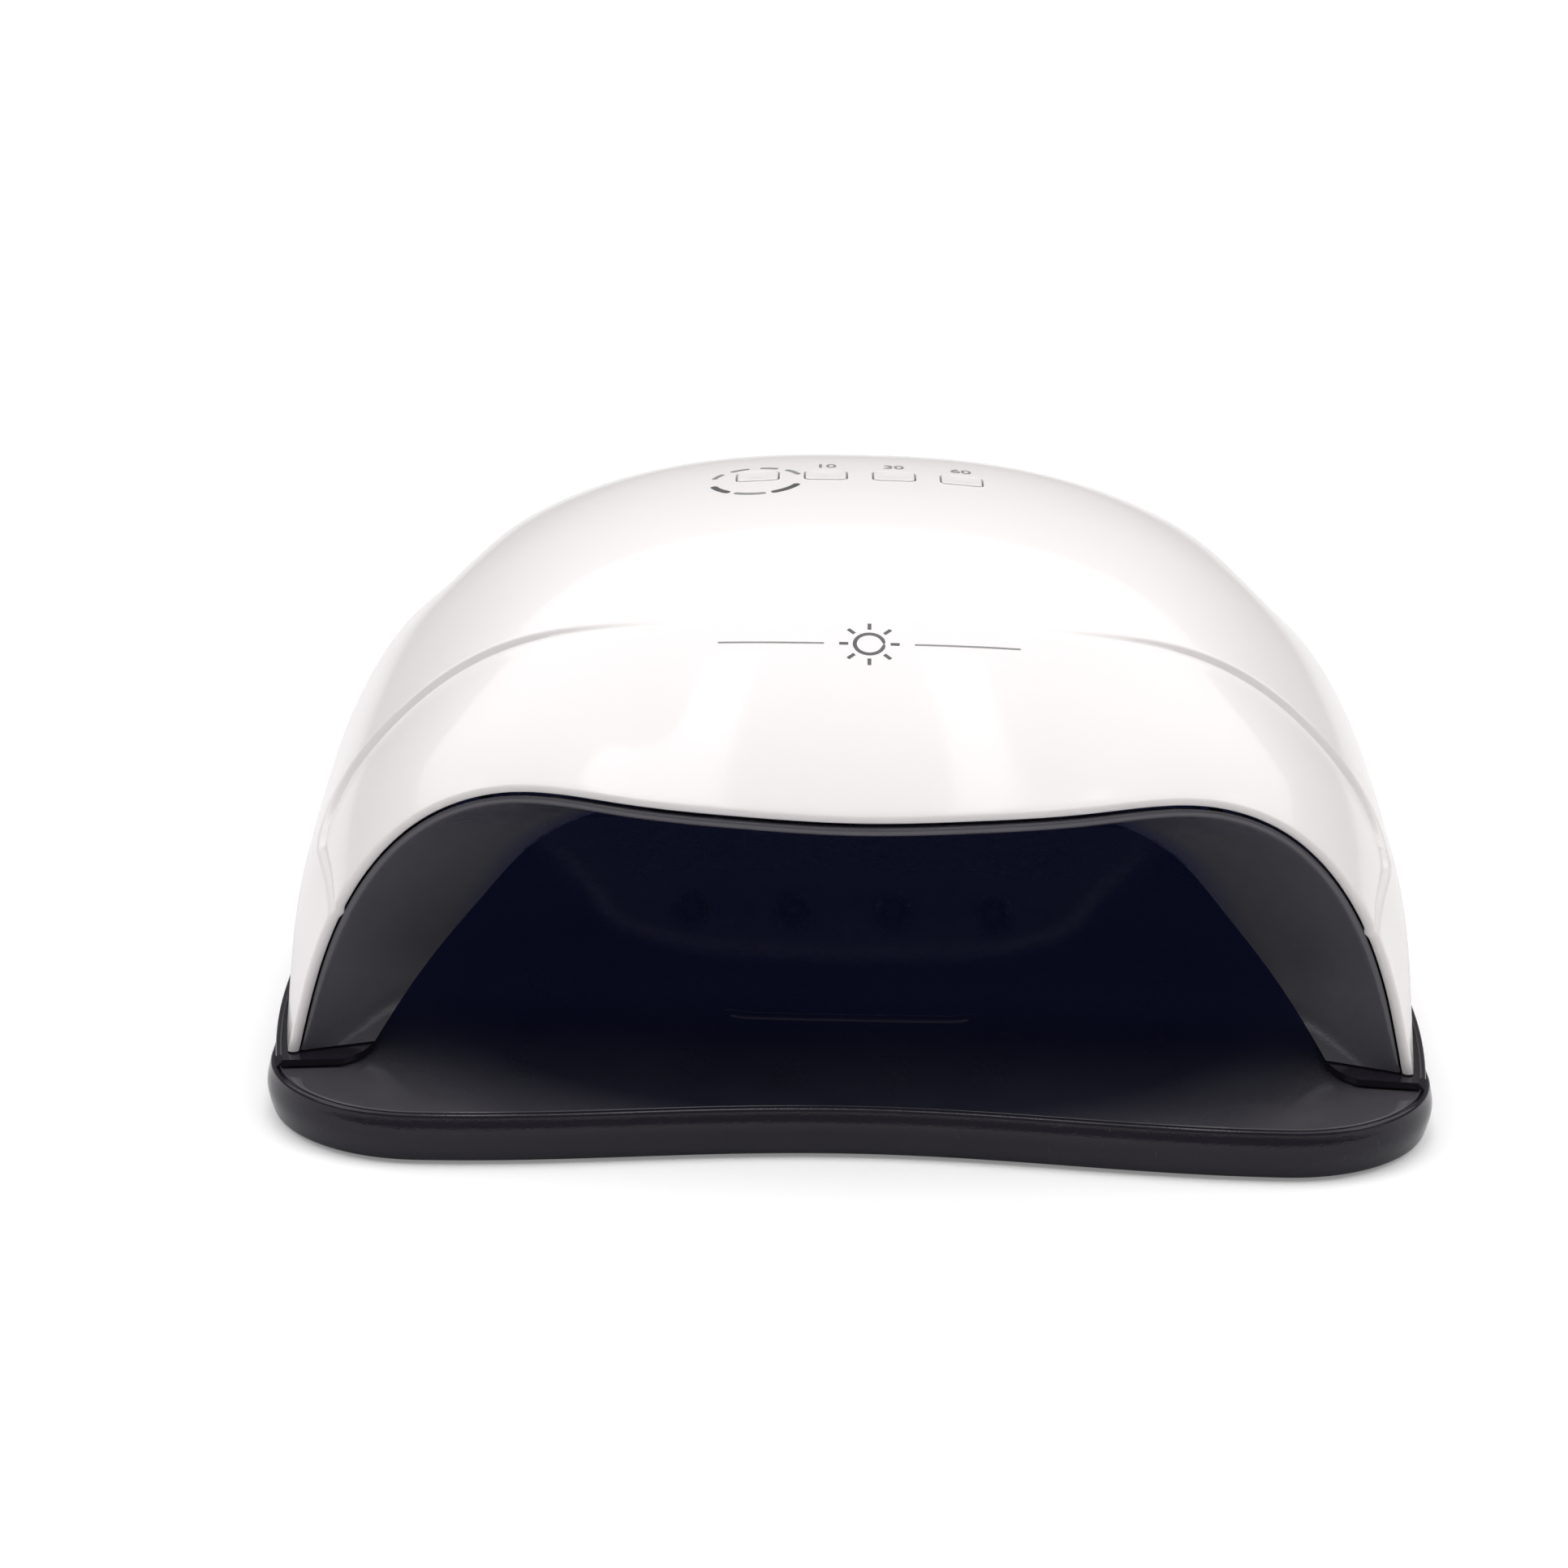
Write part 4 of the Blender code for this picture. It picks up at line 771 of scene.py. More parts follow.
def hood_edge(theta):
    """Front edge of the hood: a spline in x and z, bowed forward in the middle."""
    edge = spline(mirrored(HOOD_EDGE), theta / math.pi)
    bow = np.clip(1 - (edge[..., 0] / HOOD_EDGE[0][0]) ** 2, 0, 1) ** 1.3
    return np.stack([edge[..., 0], HOOD_SIDE_Y - HOOD_BOW * bow, edge[..., 1]], axis=-1)


def outward(grid):
    """Unit normals of a hood-like grid whose last row is a pole at the rear."""
    normals = np.cross(np.gradient(grid, axis=0), np.gradient(grid, axis=1))
    normals[:, (0, -1), 2] = 0.0
    normals[-1] = (0.0, 1.0, 0.0)
    return normals / np.linalg.norm(normals, axis=-1, keepdims=True)


def dome_relief(grid, theta, t):
    """Relief along the normal: the step down to the visor, and the grip scoops.

    The step follows the distance to the visor's rounded border, and fades towards the middle.
    """
    degrees = np.degrees(np.minimum(theta, math.pi - theta))
    above_low = (degrees - VISOR_LOW_DEGREES) / DEGREES_PER_LENGTH
    short_t = np.clip(VISOR_CORNER - (VISOR_DEPTH_T - t), 0, None)
    short_lift = np.clip(VISOR_CORNER - above_low, 0, None)
    inside = VISOR_CORNER - np.hypot(short_t, short_lift)
    fade = smoothstep((VISOR_FADE_FROM - degrees) / VISOR_FADE_OVER)
    step = -VISOR_STEP * smoothstep(inside / BROW_WIDTH) * fade * np.clip(t / VISOR_FULL_T, 0, 1)
    step -= VISOR_GROOVE * np.exp(-((inside - GROOVE_PLACE) / GROOVE_WIDTH) ** 2) * fade
    away = np.stack([np.abs(grid[..., 0]), grid[..., 1], grid[..., 2]], axis=-1) - SCOOP_PLACE
    scoop = -SCOOP_DEPTH * np.exp(-np.sum((away / SCOOP_REACH) ** 2, axis=-1))
    return step + scoop


def dome_place(theta, t):
    """Point of the dome without its relief: an arch that is pulled to the hood edge in front.

    The pull fades over a short share of the length low at the sides, and a long one on top.
    """
    y = DOME_FRONT_Y + (DOME_REAR_Y - DOME_FRONT_Y) * np.sin(t * math.pi / 2)
    degrees = np.degrees(np.minimum(theta, math.pi - theta))
    share = SIDE_SHARE + (TOP_SHARE - SIDE_SHARE) * smoothstep((degrees - 30.0) / 50.0)
    pull = smoothstep(1 - t / share)[..., None]
    front = dome_arch(theta, np.full_like(theta, DOME_FRONT_Y))
    return dome_arch(theta, y) + pull * (hood_edge(theta) - front)


def dome_plain(theta, t):
    """Point and unit normal of the plain dome; the normal is crossed from two small steps."""
    step = 1e-4
    along = dome_place(theta, t + step) - dome_place(theta, t - step)
    round_it = dome_place(theta + step, t) - dome_place(theta - step, t)
    normal = np.cross(along, round_it)
    return dome_place(theta, t), normal / np.linalg.norm(normal, axis=-1, keepdims=True)


def dome_surfaces(t_rows, theta_columns):
    """Outer grid of the dome and its normals; rows run from the hood edge to the rear pole."""
    t, theta = np.meshgrid(t_rows, theta_columns, indexing="ij")
    grid = dome_place(theta, t)
    normals = outward(grid)
    outer = grid + normals * dome_relief(grid, theta, t)[..., None]
    outer[-1] = (0.0, DOME_REAR_Y, RIM_Z)
    return outer, normals


def hood_shell(name, outer, normals, wall, lip_rows, body, material, inset=0.0):
    """Closed shell from its outer grid: a rounded front lip, the inner grid and flat feet.

    The rows run from the rear pole over the outside, round the lip and back inside. The lip is
    half an ellipse across the wall. Two strips close the feet between the two sides.
    """
    inner = outer - wall * normals
    ahead = outer[0] - outer[1]
    ahead /= np.linalg.norm(ahead, axis=1, keepdims=True)
    middle = (outer[0] + inner[0]) / 2
    lip = []
    for turn in np.linspace(math.pi / 2, -math.pi / 2, lip_rows + 2)[1:-1]:
        lip.append(middle + normals[0] * (wall / 2) * math.sin(turn)
                   + ahead * (wall * 0.42) * math.cos(turn))
    lip = np.array(lip)
    lip[:, (0, -1), 2] = RIM_Z
    grid = np.concatenate([outer[::-1], lip, inner])
    rows, columns = grid.shape[:2]
    index = np.arange(rows * columns).reshape(rows, columns)
    quads = np.stack([index[:-1, :-1], index[:-1, 1:], index[1:, 1:], index[1:, :-1]],
                     axis=-1).reshape(-1, 4)
    far = rows - 1 - np.arange(rows // 2)
    near = np.arange(rows // 2)
    feet = []
    for column in (0, columns - 1):
        feet.append(np.stack([index[near[:-1], column], index[near[1:], column],
                              index[far[1:], column], index[far[:-1], column]], axis=-1))
    mesh = bpy.data.meshes.new(name)
    faces = np.concatenate([quads] + feet).tolist()
    if rows % 2:
        for column in (0, columns - 1):
            faces.append([index[rows // 2 - 1, column], index[rows // 2, column],
                          index[rows // 2 + 1, column]])
    mesh.from_pydata((grid.reshape(-1, 3) * MM).tolist(), [], faces)
    return place_mesh(name, mesh, body, material)


def make_pearl():
    """Pearl lustre: slow drifts between a pink and a cream white, and fine mica flecks."""
    tree, start, end = effect("pearl_lustre", [("Depth", "NodeSocketFloat", 1.0)],
                              [("Color", "NodeSocketColor"), ("Flecks", "NodeSocketFloat"),
                               ("Swirl", "NodeSocketFloat")])
    place = node(tree, "ShaderNodeTexCoord").outputs["Object"]
    swirl = node(tree, "ShaderNodeTexNoise", {"Vector": place, "Scale": 9.0, "Detail": 2.0})
    tint = blend_colour(tree, between(tree, swirl.outputs["Fac"], 0.25, 0.75),
                        (0.815, 0.778, 0.786), (0.827, 0.800, 0.782))
    flecks = node(tree, "ShaderNodeTexVoronoi", {"Vector": place, "Scale": 5200.0})
    bright = between(tree, flecks.outputs["Distance"], 0.10, 0.0)
    held = node(tree, "ShaderNodeMath", {0: bright, 1: start.outputs["Depth"]},
                operation="MULTIPLY")
    lifted = blend_colour(tree, held.outputs[0], tint, (0.95, 0.94, 0.95))
    tree.links.new(lifted, end.inputs["Color"])
    tree.links.new(flecks.outputs["Distance"], end.inputs["Flecks"])
    tree.links.new(swirl.outputs["Fac"], end.inputs["Swirl"])
    return tree


PEARL = make_pearl()


def pearl_plastic(name, gloss):
    """Pearl white moulding under a clear gloss, with mica flecks just under the surface."""
    material, tree, shader = new_material(name, (0.81, 0.78, 0.77), 0.32)
    pearl = group(tree, PEARL, Depth=0.35)
    tree.links.new(pearl.outputs["Color"], shader.inputs["Base Color"])
    rough = between(tree, pearl.outputs["Swirl"], 0.2, 0.8, 0.28, 0.33)
    tree.links.new(rough, shader.inputs["Roughness"])
    shader.inputs["Coat Weight"].default_value = 0.4
    shader.inputs["Specular IOR Level"].default_value = 0.35
    shader.inputs["Coat Roughness"].default_value = gloss
    shader.inputs["Subsurface Weight"].default_value = 0.05
    shader.inputs["Subsurface Radius"].default_value = (0.0012, 0.0010, 0.0010)
    bump = node(tree, "ShaderNodeBump", {"Height": pearl.outputs["Flecks"], "Strength": 0.12,
                                         "Distance": 0.000004})
    tree.links.new(bump.outputs[0], shader.inputs["Normal"])
    return material


pearl_white = pearl_plastic("pearl_white", 0.06)
dome_rows = np.concatenate([np.linspace(0, 0.105, 30)[:-1], np.linspace(0.105, 0.135, 31)[:-1],
                            np.linspace(0.135, 0.2, 16)[:-1], np.linspace(0.2, 1, 76)])
dome_columns = np.concatenate([np.linspace(0, 16, 17)[:-1], np.linspace(16, 31, 41)[:-1],
                               np.linspace(31, 90, 66)])
dome_columns = np.radians(np.concatenate([dome_columns, 180 - dome_columns[-2::-1]]))
dome_outer, dome_normals = dome_surfaces(dome_rows, dome_columns)
dome = hood_shell("dome_cover", dome_outer, dome_normals, WALL, 9, "housing",
                  pearl_white)
KEY_X, KEY_Y, KEY_HALF_WIDTH, KEY_HALF_DEPTH = (-21.4, -6.9, 7.6, 22.0), 8.0, 4.3, 3.6
KEY_NEAR_CORNER, KEY_FAR_CORNER = 1.2, 1.6


def up_the_slope(place, slope):
    """How far up a slope a place lies, measured in its upright plane; y itself if it is flat."""
    return place[..., 1] * math.cos(slope) + place[..., 2] * math.sin(slope)


def on_dome(across, way, slope=0.0):
    """Theta and t of the plain dome at a place (x, way up the slope), by Newton's method.

    Each round moves theta by the miss in x and t by the miss upward, over their slopes.
    """
    theta, t = np.full_like(across, math.pi / 2), np.full_like(across, 0.25)
    for _ in range(14):
        place = dome_place(theta, t)
        miss_x, miss_up = across - place[..., 0], way - up_the_slope(place, slope)
        slope_x = dome_place(theta + 1e-3, t)[..., 0] - place[..., 0]
        slope_up = up_the_slope(dome_place(theta, t + 1e-3) - place, slope)
        theta = theta + miss_x / slope_x * 1e-3
        t = np.clip(t + miss_up / slope_up * 1e-3, 0.005, 0.6)
    return theta, t


def key_seat(x):
    """Seat on the dome at the place of a key, turned square to the slope across."""
    spots = dome_place(*on_dome(np.array([x - 0.5, x, x + 0.5]), np.full(3, KEY_Y)))
    seat = np.array(Matrix.Rotation(-math.atan(spots[2, 2] - spots[0, 2]), 4, "Y"))
    seat[:3, 3] = spots[1]
    return seat


def key_loop(grow, corner_points=10):
    """Outline of a key: a rounded rectangle with tighter corners on its near edge."""
    half, depth = KEY_HALF_WIDTH + grow, KEY_HALF_DEPTH + grow
    turn = np.linspace(0, math.pi / 2, corner_points)
    near, far = KEY_NEAR_CORNER + grow, KEY_FAR_CORNER + grow
    right = np.concatenate([
        np.stack([half - near + near * np.sin(turn), -depth + near - near * np.cos(turn)], 1),
        np.stack([half - far + far * np.cos(turn), depth - far + far * np.sin(turn)], 1)])
    return np.concatenate([right, right[::-1] * (-1, 1)])


def seated(local, seat):
    """Local millimetre points carried to a seat."""
    return local @ seat[:3, :3].T + seat[:3, 3]


KEY_GAP, KEY_HOLE_EASE = 0.40, 0.12


def key_holes():
    """Four key-shaped cuts, wider at the mouth so that each edge is eased."""
    levels = [(KEY_GAP, -5.0), (KEY_GAP, -KEY_HOLE_EASE), (KEY_GAP + 2.0, 2.0 - KEY_HOLE_EASE)]
    stacks = [[seated(np.column_stack([key_loop(grow), np.full(40, z)]), key_seat(x))
               for grow, z in levels] for x in KEY_X]
    return np.array(stacks), prism_faces(40, 3, 4)


VENTS_A_SIDE, VENT_FIRST_X, VENT_PITCH, VENT_RADIUS = 5, 26.0, 6.0, 1.4
VENT_LOW, VENT_HIGH, VENT_CUT_Y = 25.4, 40.6, (84.0, 118.0)


def vent_slots():
    """Upright slots with round ends, cut from behind on both sides of the power inlet."""
    x = np.concatenate([side * (VENT_FIRST_X + VENT_PITCH * np.arange(VENTS_A_SIDE))
                        for side in (-1, 1)])
    turn = np.linspace(0, math.pi, 12)
    end = np.stack([VENT_RADIUS * np.cos(turn), VENT_RADIUS * np.sin(turn)], axis=1)
    loop = np.concatenate([end + (0, VENT_HIGH), -end + (0, VENT_LOW)])
    points = np.empty((len(x), 2, len(loop), 3))
    points[..., 0] = x[:, None, None] + loop[:, 0]
    points[..., 2] = loop[:, 1]
    points[:, 0, :, 1], points[:, 1, :, 1] = VENT_CUT_Y
    return points, prism_faces(len(loop), 2, len(x))


INLET_Z = 26.0
ALONG_Y = np.array(Matrix.Rotation(-math.pi / 2, 4, "X"))
inlet_seat = ALONG_Y.copy()
inlet_seat[:3, 3] = 0.0, 96.5, INLET_Z
carve(dome, cutter(*key_holes()))
carve(dome, cutter(*vent_slots()))
carve(dome, cutter(turned([(5.9, 6.0), (5.9, 12.2), (7.0, 13.3), (7.0, 18.0)], [inlet_seat]),
                   prism_faces(48, 4, 1)))
dome.data.shade_smooth()
dome.data.set_sharp_from_angle(angle=math.radians(40.0))
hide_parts("outer_shell")

# ---------------------------------------------------------------------------------------------
# Chamber liner. A matt black moulding behind the hood: a flared collar from the hood edge to
# the mouth, and a boxy chamber over the hand. Round windows let the lamps look in.

LINER_WALL = 1.8
MOUTH_EDGE = [(MOUTH_FOOT, RIM_Z), (85.9, 25.9), (73.6, 40.1), (66.0, 48.2),
              (57.5, 53.5), (47.0, 57.0), (24.0, 59.4), (0.0, 60.0)]
MOUTH_TOP_Y = -58.0


def edge_outward(theta):
    """Direction out of the hood edge in its own upright plane."""
    ahead, behind = np.clip(theta + 0.002, 0, math.pi), np.clip(theta - 0.002, 0, math.pi)
    along = hood_edge(ahead) - hood_edge(behind)
    out = np.stack([along[:, 2], np.zeros(len(theta)), -along[:, 0]], axis=1)
    return out / np.linalg.norm(out, axis=1, keepdims=True)


def liner_surfaces(flare_rows, chamber_rows, columns):
    """Inside of the liner: a straight flare to the mouth, then arches that close at the rear.

    The chamber shrinks by a superellipse of power 8 in depth, so that its rear is nearly flat.
    """
    theta = np.linspace(0, math.pi, columns)
    mouth = spline(mirrored(MOUTH_EDGE), theta / math.pi)
    reach = np.abs(mouth[:, 0] / MOUTH_EDGE[0][0]) ** 6
    mouth_y = MOUTH_TOP_Y + (MOUTH_FOOT_Y - MOUTH_TOP_Y) * reach
    mouth = np.stack([mouth[:, 0], mouth_y, mouth[:, 1]], axis=1)
    row_out = edge_outward(theta)
    start = hood_edge(theta) - (WALL + 0.4 + LINER_WALL) * row_out
    start[:, 1] += 1.0
    start[(0, -1), 2] = RIM_Z
    share = np.linspace(0, 1, flare_rows + 1)[:-1, None, None]
    flare = start + (mouth - start) * share
    angle = np.linspace(0, math.pi / 2, chamber_rows)[:, None]
    depth = np.sin(angle) ** (2 / CHAMBER_POWER)
    size = np.clip(np.cos(angle), 0, 1) ** (2 / CHAMBER_POWER)
    chamber = np.stack([mouth[:, 0] * size, mouth[:, 1] + (CHAMBER_REAR_Y - mouth[:, 1]) * depth,
                        RIM_Z + (mouth[:, 2] - RIM_Z) * size], axis=-1)
    inside = np.concatenate([flare, chamber])
    inside[-1] = (0.0, CHAMBER_REAR_Y, RIM_Z)
    normals = outward(inside)
    normals[0] = row_out
    normals[0, (0, -1), 2] = 0.0
    return inside, normals


def liner_black_painted_light(name):
    """Liner black with painted light: the flare ahead is painted pale grey as if lit, the chamber
    a darker blue-black as shade, and a faint blue glow is painted in the chamber, which is no
    lamp.
    """
    painted_glow = (0.0026, 0.0034, 0.0105)
    # Painted light and shade: the flare colour is far paler than the black moulding, as lit, and
    # the chamber colour darker and bluer, as shade.
    flare, chamber = (0.100, 0.097, 0.113), (0.014, 0.019, 0.070)
    material = moulded_black(name, (0.086, 0.083, 0.097), flare, 0.46, 0.56, 0.00003, 0.02)
    tree = material.node_tree
    shader = tree.nodes["Principled BSDF"]
    place = node(tree, "ShaderNodeSeparateXYZ",
                 {0: node(tree, "ShaderNodeTexCoord").outputs["Object"]})
    # Mask of the chamber, where the painted shade and the painted glow go.
    inside = between(tree, place.outputs["Y"], (MOUTH_TOP_Y - 9) * MM, (MOUTH_TOP_Y + 3) * MM)
    base = shader.inputs["Base Color"].links[0].from_socket
    tree.links.new(blend_colour(tree, inside, base, chamber), shader.inputs["Base Color"])
    # Painted glow: a faint blue emission in the chamber, which is no lamp.
    tree.links.new(blend_colour(tree, inside, (0.0, 0.0, 0.0), painted_glow),
                   shader.inputs["Emission Color"])
    shader.inputs["Emission Strength"].default_value = 1.0
    return material


liner_black = liner_black_painted_light("liner_black")
liner_inside, liner_normals = liner_surfaces(24, 70, 161)
liner_outside = liner_inside + LINER_WALL * liner_normals
liner = hood_shell("chamber_liner", liner_outside, liner_normals, LINER_WALL, 5, "housing",
                   liner_black)
LAMP_HOLE_RADIUS, LAMP_RADIUS = 4.3, 3.4
SIDE_WALL_POINT, SIDE_WALL_NORMAL = (71.2, 42.7), (0.735, 0.678)


def lamp_seats():
    """Seats of every lamp by board: place on the inner wall, with the axis pointing outwards."""
    roof = [upright(x, y, 58.4) for x in (-34.0, -12.0, 12.0, 34.0) for y in (-28.0, 5.0, 38.0)]
    rear = [ALONG_Y.copy() for _ in range(4)]
    for seat, x in zip(rear, (-36.0, -12.0, 12.0, 36.0)):
        seat[:3, 3] = x, CHAMBER_REAR_Y - 0.6, 36.0
    sides = {"roof": roof, "rear": rear}
    for side, sign in (("left", -1), ("right", 1)):
        lean = math.atan2(SIDE_WALL_NORMAL[0], SIDE_WALL_NORMAL[1])
        turn = np.array(Matrix.Rotation(sign * lean, 4, "Y"))
        sides[side] = [turn.copy() for _ in range(3)]
        for seat, y in zip(sides[side], (-5.0, 20.0, 45.0)):
            seat[:3, 3] = sign * SIDE_WALL_POINT[0], y, SIDE_WALL_POINT[1]
    return sides


LAMP_SEATS = lamp_seats()
all_lamps = [seat for seats in LAMP_SEATS.values() for seat in seats]
SENSOR_SEATS = [upright(22.0, -47.0, 58.6), upright(-22.0, -47.0, 58.6)]
window_profile = [(LAMP_HOLE_RADIUS + 3.0, -4.0), (LAMP_HOLE_RADIUS, -0.6),
                  (LAMP_HOLE_RADIUS, 3.9)]
carve(liner, cutter(turned(window_profile, all_lamps, 40), prism_faces(40, 3, len(all_lamps))))
carve(liner, cutter(turned([(2.9, -8.0), (2.9, 8.0)], SENSOR_SEATS, 32), prism_faces(32, 2, 2)))
liner.data.shade_smooth()
liner.data.set_sharp_from_angle(angle=math.radians(40.0))
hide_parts("inner_liner")

# ---------------------------------------------------------------------------------------------
# Lamp boards. Four green circuit boards stand behind the liner. Each is a fibreglass plate with
# copper tracks under a green lacquer, and it carries the lamps of its wall.


def circuit_board(name, lacquer, copper):
    """Circuit board: right-angled copper tracks and tinned pads seen under the lacquer."""
    material, tree, shader = new_material(name, lacquer, 0.32)
    place = node(tree, "ShaderNodeTexCoord").outputs["Object"]
    tracks = node(tree, "ShaderNodeTexBrick", {"Vector": place, "Scale": 210.0,
                                               "Mortar Size": 0.035, "Color1": (0, 0, 0, 1),
                                               "Color2": (0, 0, 0, 1), "Mortar": (1, 1, 1, 1)})
    pads = node(tree, "ShaderNodeTexVoronoi", {"Vector": place, "Scale": 260.0,
                                               "Randomness": 0.35})
    weave = node(tree, "ShaderNodeTexNoise", {"Vector": place, "Scale": 700.0, "Detail": 3.0})
    shade_of_green = blend_colour(tree, between(tree, weave.outputs["Fac"], 0.3, 0.7), lacquer,
                                  tuple(0.72 * part for part in lacquer))
    tracked = blend_colour(tree, tracks.outputs["Color"], shade_of_green, copper)
    pad_mask = between(tree, pads.outputs["Distance"], 0.16, 0.12)
    tree.links.new(blend_colour(tree, pad_mask, tracked, (0.62, 0.60, 0.56)),
                   shader.inputs["Base Color"])
    tree.links.new(pad_mask, shader.inputs["Metallic"])
    bump = node(tree, "ShaderNodeBump", {"Height": tracks.outputs["Color"], "Strength": 0.6,
                                         "Distance": 0.00003})
    tree.links.new(bump.outputs[0], shader.inputs["Normal"])
    return material


board_green = circuit_board("board_green", (0.030, 0.150, 0.065), (0.055, 0.230, 0.100))


def board_grid(low, high, corner=2.0):
    """Plate between two corners, with rounded corners in plan and eased edges."""
    half = (np.array(high[:2]) - low[:2]) / 2
    middle = (np.array(high[:2]) + low[:2]) / 2
    turn = np.linspace(0, 2 * math.pi, 36, endpoint=False)
    towards = np.stack([np.cos(turn), np.sin(turn)], axis=1)
    corners = np.sign(towards + 1e-9) * (half - corner)
    rows = [np.column_stack([middle + corners + towards * (corner - ease), np.full(36, z)])
            for ease, z in ((0.15, low[2]), (0.0, low[2] + 0.15), (0.0, high[2] - 0.15),
                            (0.15, high[2]))]
    return np.array(rows)


def board_piece(name, low, high, seat, replaced):
    """One lamp board at its seat, standing for its CAD node."""
    piece = surface(name, seated(board_grid(low, high), seat), "housing",
                    board_green)
    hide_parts(replaced)


board_piece("roof_board", (-42, -36, 4.6), (42, 46, 6.2), upright(0, 0, 58.4),
            "roof_lamp_board")
for side in ("left", "right"):
    seat = LAMP_SEATS[side][0].copy()
    seat[1, 3] = 0.0
    board_piece(f"{side}_board", (-6, -12, 4.2), (6, 53, 5.8), seat, f"{side}_lamp_board")
seat = LAMP_SEATS["rear"][0].copy()
seat[0, 3] = 0.0
board_piece("rear_board", (-44, -9, 3.4), (44, 9, 5.0), seat, "rear_lamp_board")

# ---------------------------------------------------------------------------------------------
# Lamps. Twenty-two bead lamps look through round windows in the liner. Each is a cup with a
# polished rim and a domed lens over a violet chip. As painted shade, the cups are toned grey and
# the lenses dark violet, darker than the parts they stand for, so that the unlit lamps hardly
# show.

CUP_PROFILE = [(0.0, 3.3), (3.2, 3.3), (LAMP_RADIUS, 3.1), (LAMP_RADIUS, 1.35), (3.3, 1.1),
               (3.1, 1.0), (2.85, 1.12), (2.7, 1.5), (1.5, 1.9), (0.0, 1.9)]
lens_turn = np.linspace(0, math.pi / 2, 12)
LENS_PROFILE = np.column_stack([2.68 * np.cos(lens_turn), 1.42 - 1.15 * np.sin(lens_turn)])
LENS_PROFILE = [(0.0, 1.6), (2.68, 1.6)] + LENS_PROFILE.tolist()


def cup_painted_shade(name):
    """Lamp cup painted a mid grey as shade: faint yellowing in patches and fine moulding texture.
    """
    material, tree, shader = new_material(name, (0.16, 0.16, 0.17), 0.4)
    grain = group(tree, GRAIN, Scale=1.4)
    tree.links.new(blend_colour(tree, between(tree, grain.outputs["Patches"], 0.4, 0.7),
                                (0.17, 0.17, 0.18), (0.15, 0.15, 0.14)),
                   shader.inputs["Base Color"])
    bump = node(tree, "ShaderNodeBump", {"Height": grain.outputs["Height"], "Strength": 0.3,
                                         "Distance": 0.00002})
    tree.links.new(bump.outputs[0], shader.inputs["Normal"])
    return material


def lens_painted_shade(name):
    """Domed lens painted dark violet as shade: the tint and the gloss drift in soft patches."""
    material, tree, shader = new_material(name, (0.30, 0.28, 0.42), 0.06)
    place = node(tree, "ShaderNodeTexCoord").outputs["Object"]
    cloud = node(tree, "ShaderNodeTexNoise", {"Vector": place, "Scale": 420.0, "Detail": 2.0})
    tree.links.new(blend_colour(tree, between(tree, cloud.outputs["Fac"], 0.35, 0.65),
                                (0.07, 0.06, 0.14), (0.12, 0.11, 0.20)),
                   shader.inputs["Base Color"])
    tree.links.new(between(tree, cloud.outputs["Fac"], 0.3, 0.7, 0.10, 0.18),
                   shader.inputs["Roughness"])
    return material


turned_piece("lamp_cups", CUP_PROFILE, all_lamps, "housing",
             cup_painted_shade("cup_painted_shade"), 32)
turned_piece("lamp_lenses", LENS_PROFILE, all_lamps, "housing",
             lens_painted_shade("lens_painted_shade"), 32, 60.0)

# ---------------------------------------------------------------------------------------------
# Hand sensors. Two small infrared windows in the roof, just behind the mouth. Each is a smoked
# lens in a black collar, and it switches the lamps on when a hand comes in.

SENSOR_PROFILE = [(0.0, 7.2), (2.5, 7.2), (2.5, 0.4), (2.4, 0.15), (2.1, 0.1), (1.9, 0.3),
                  (1.55, 0.2), (1.1, 0.02), (0.6, -0.08), (0.0, -0.12)]


def smoked_window(name):
    """Smoked window: near-black violet plastic, glossy, with a faint haze of fingerprints."""
    material, tree, shader = new_material(name, (0.018, 0.010, 0.020), 0.08)
    grain = group(tree, GRAIN, Scale=0.5)
    tree.links.new(blend_colour(tree, grain.outputs["Patches"], (0.014, 0.008, 0.016),
                                (0.024, 0.014, 0.026)), shader.inputs["Base Color"])
    tree.links.new(between(tree, grain.outputs["Patches"], 0.35, 0.7, 0.06, 0.22),
                   shader.inputs["Roughness"])
    return material


sensor_window = smoked_window("sensor_window")
for seat, side in zip(SENSOR_SEATS, ("right", "left")):
    eye = turned_piece(f"sensor_eye_{side}", SENSOR_PROFILE, [seat], "housing",
                       sensor_window, 40)
    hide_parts(f"hand_sensor_{side}")

# ---------------------------------------------------------------------------------------------
# Keys. Four white caps, moulded in the same pearl plastic as the dome. Each stands a little
# proud of its hole, dips slightly under the fingertip, and presses a switch on the board.

KEY_PROUD, KEY_EDGE = 0.12, 0.30


def key_rows():
    """Rows of a key: side wall, a quarter-round edge and a dished top that ends in a point."""
    rows = [(0.0, -1.8), (0.0, KEY_PROUD - KEY_EDGE)]
    rows += [(-KEY_EDGE * (1 - math.cos(a)), KEY_PROUD - KEY_EDGE * (1 - math.sin(a)))
             for a in np.linspace(0.2, math.pi / 2, 7)]
    walls = [np.column_stack([key_loop(grow), np.full(40, z)]) for grow, z in rows]
    top = [np.column_stack([key_loop(-KEY_EDGE) * size,
                            np.full(40, KEY_PROUD - 0.10 * (1 - size ** 2))])
           for size in (0.9, 0.75, 0.55, 0.35, 0.15, 0.0)]
    return np.array(walls + top)


key_white = pearl_plastic("key_white", 0.08)
for number, x in enumerate(KEY_X, start=1):
    cap = surface(f"key_cap_{number}", seated(key_rows(), key_seat(x)), f"key_{number}_cap",
                  key_white, sharp=60.0)
    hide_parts(f"key_{number}")

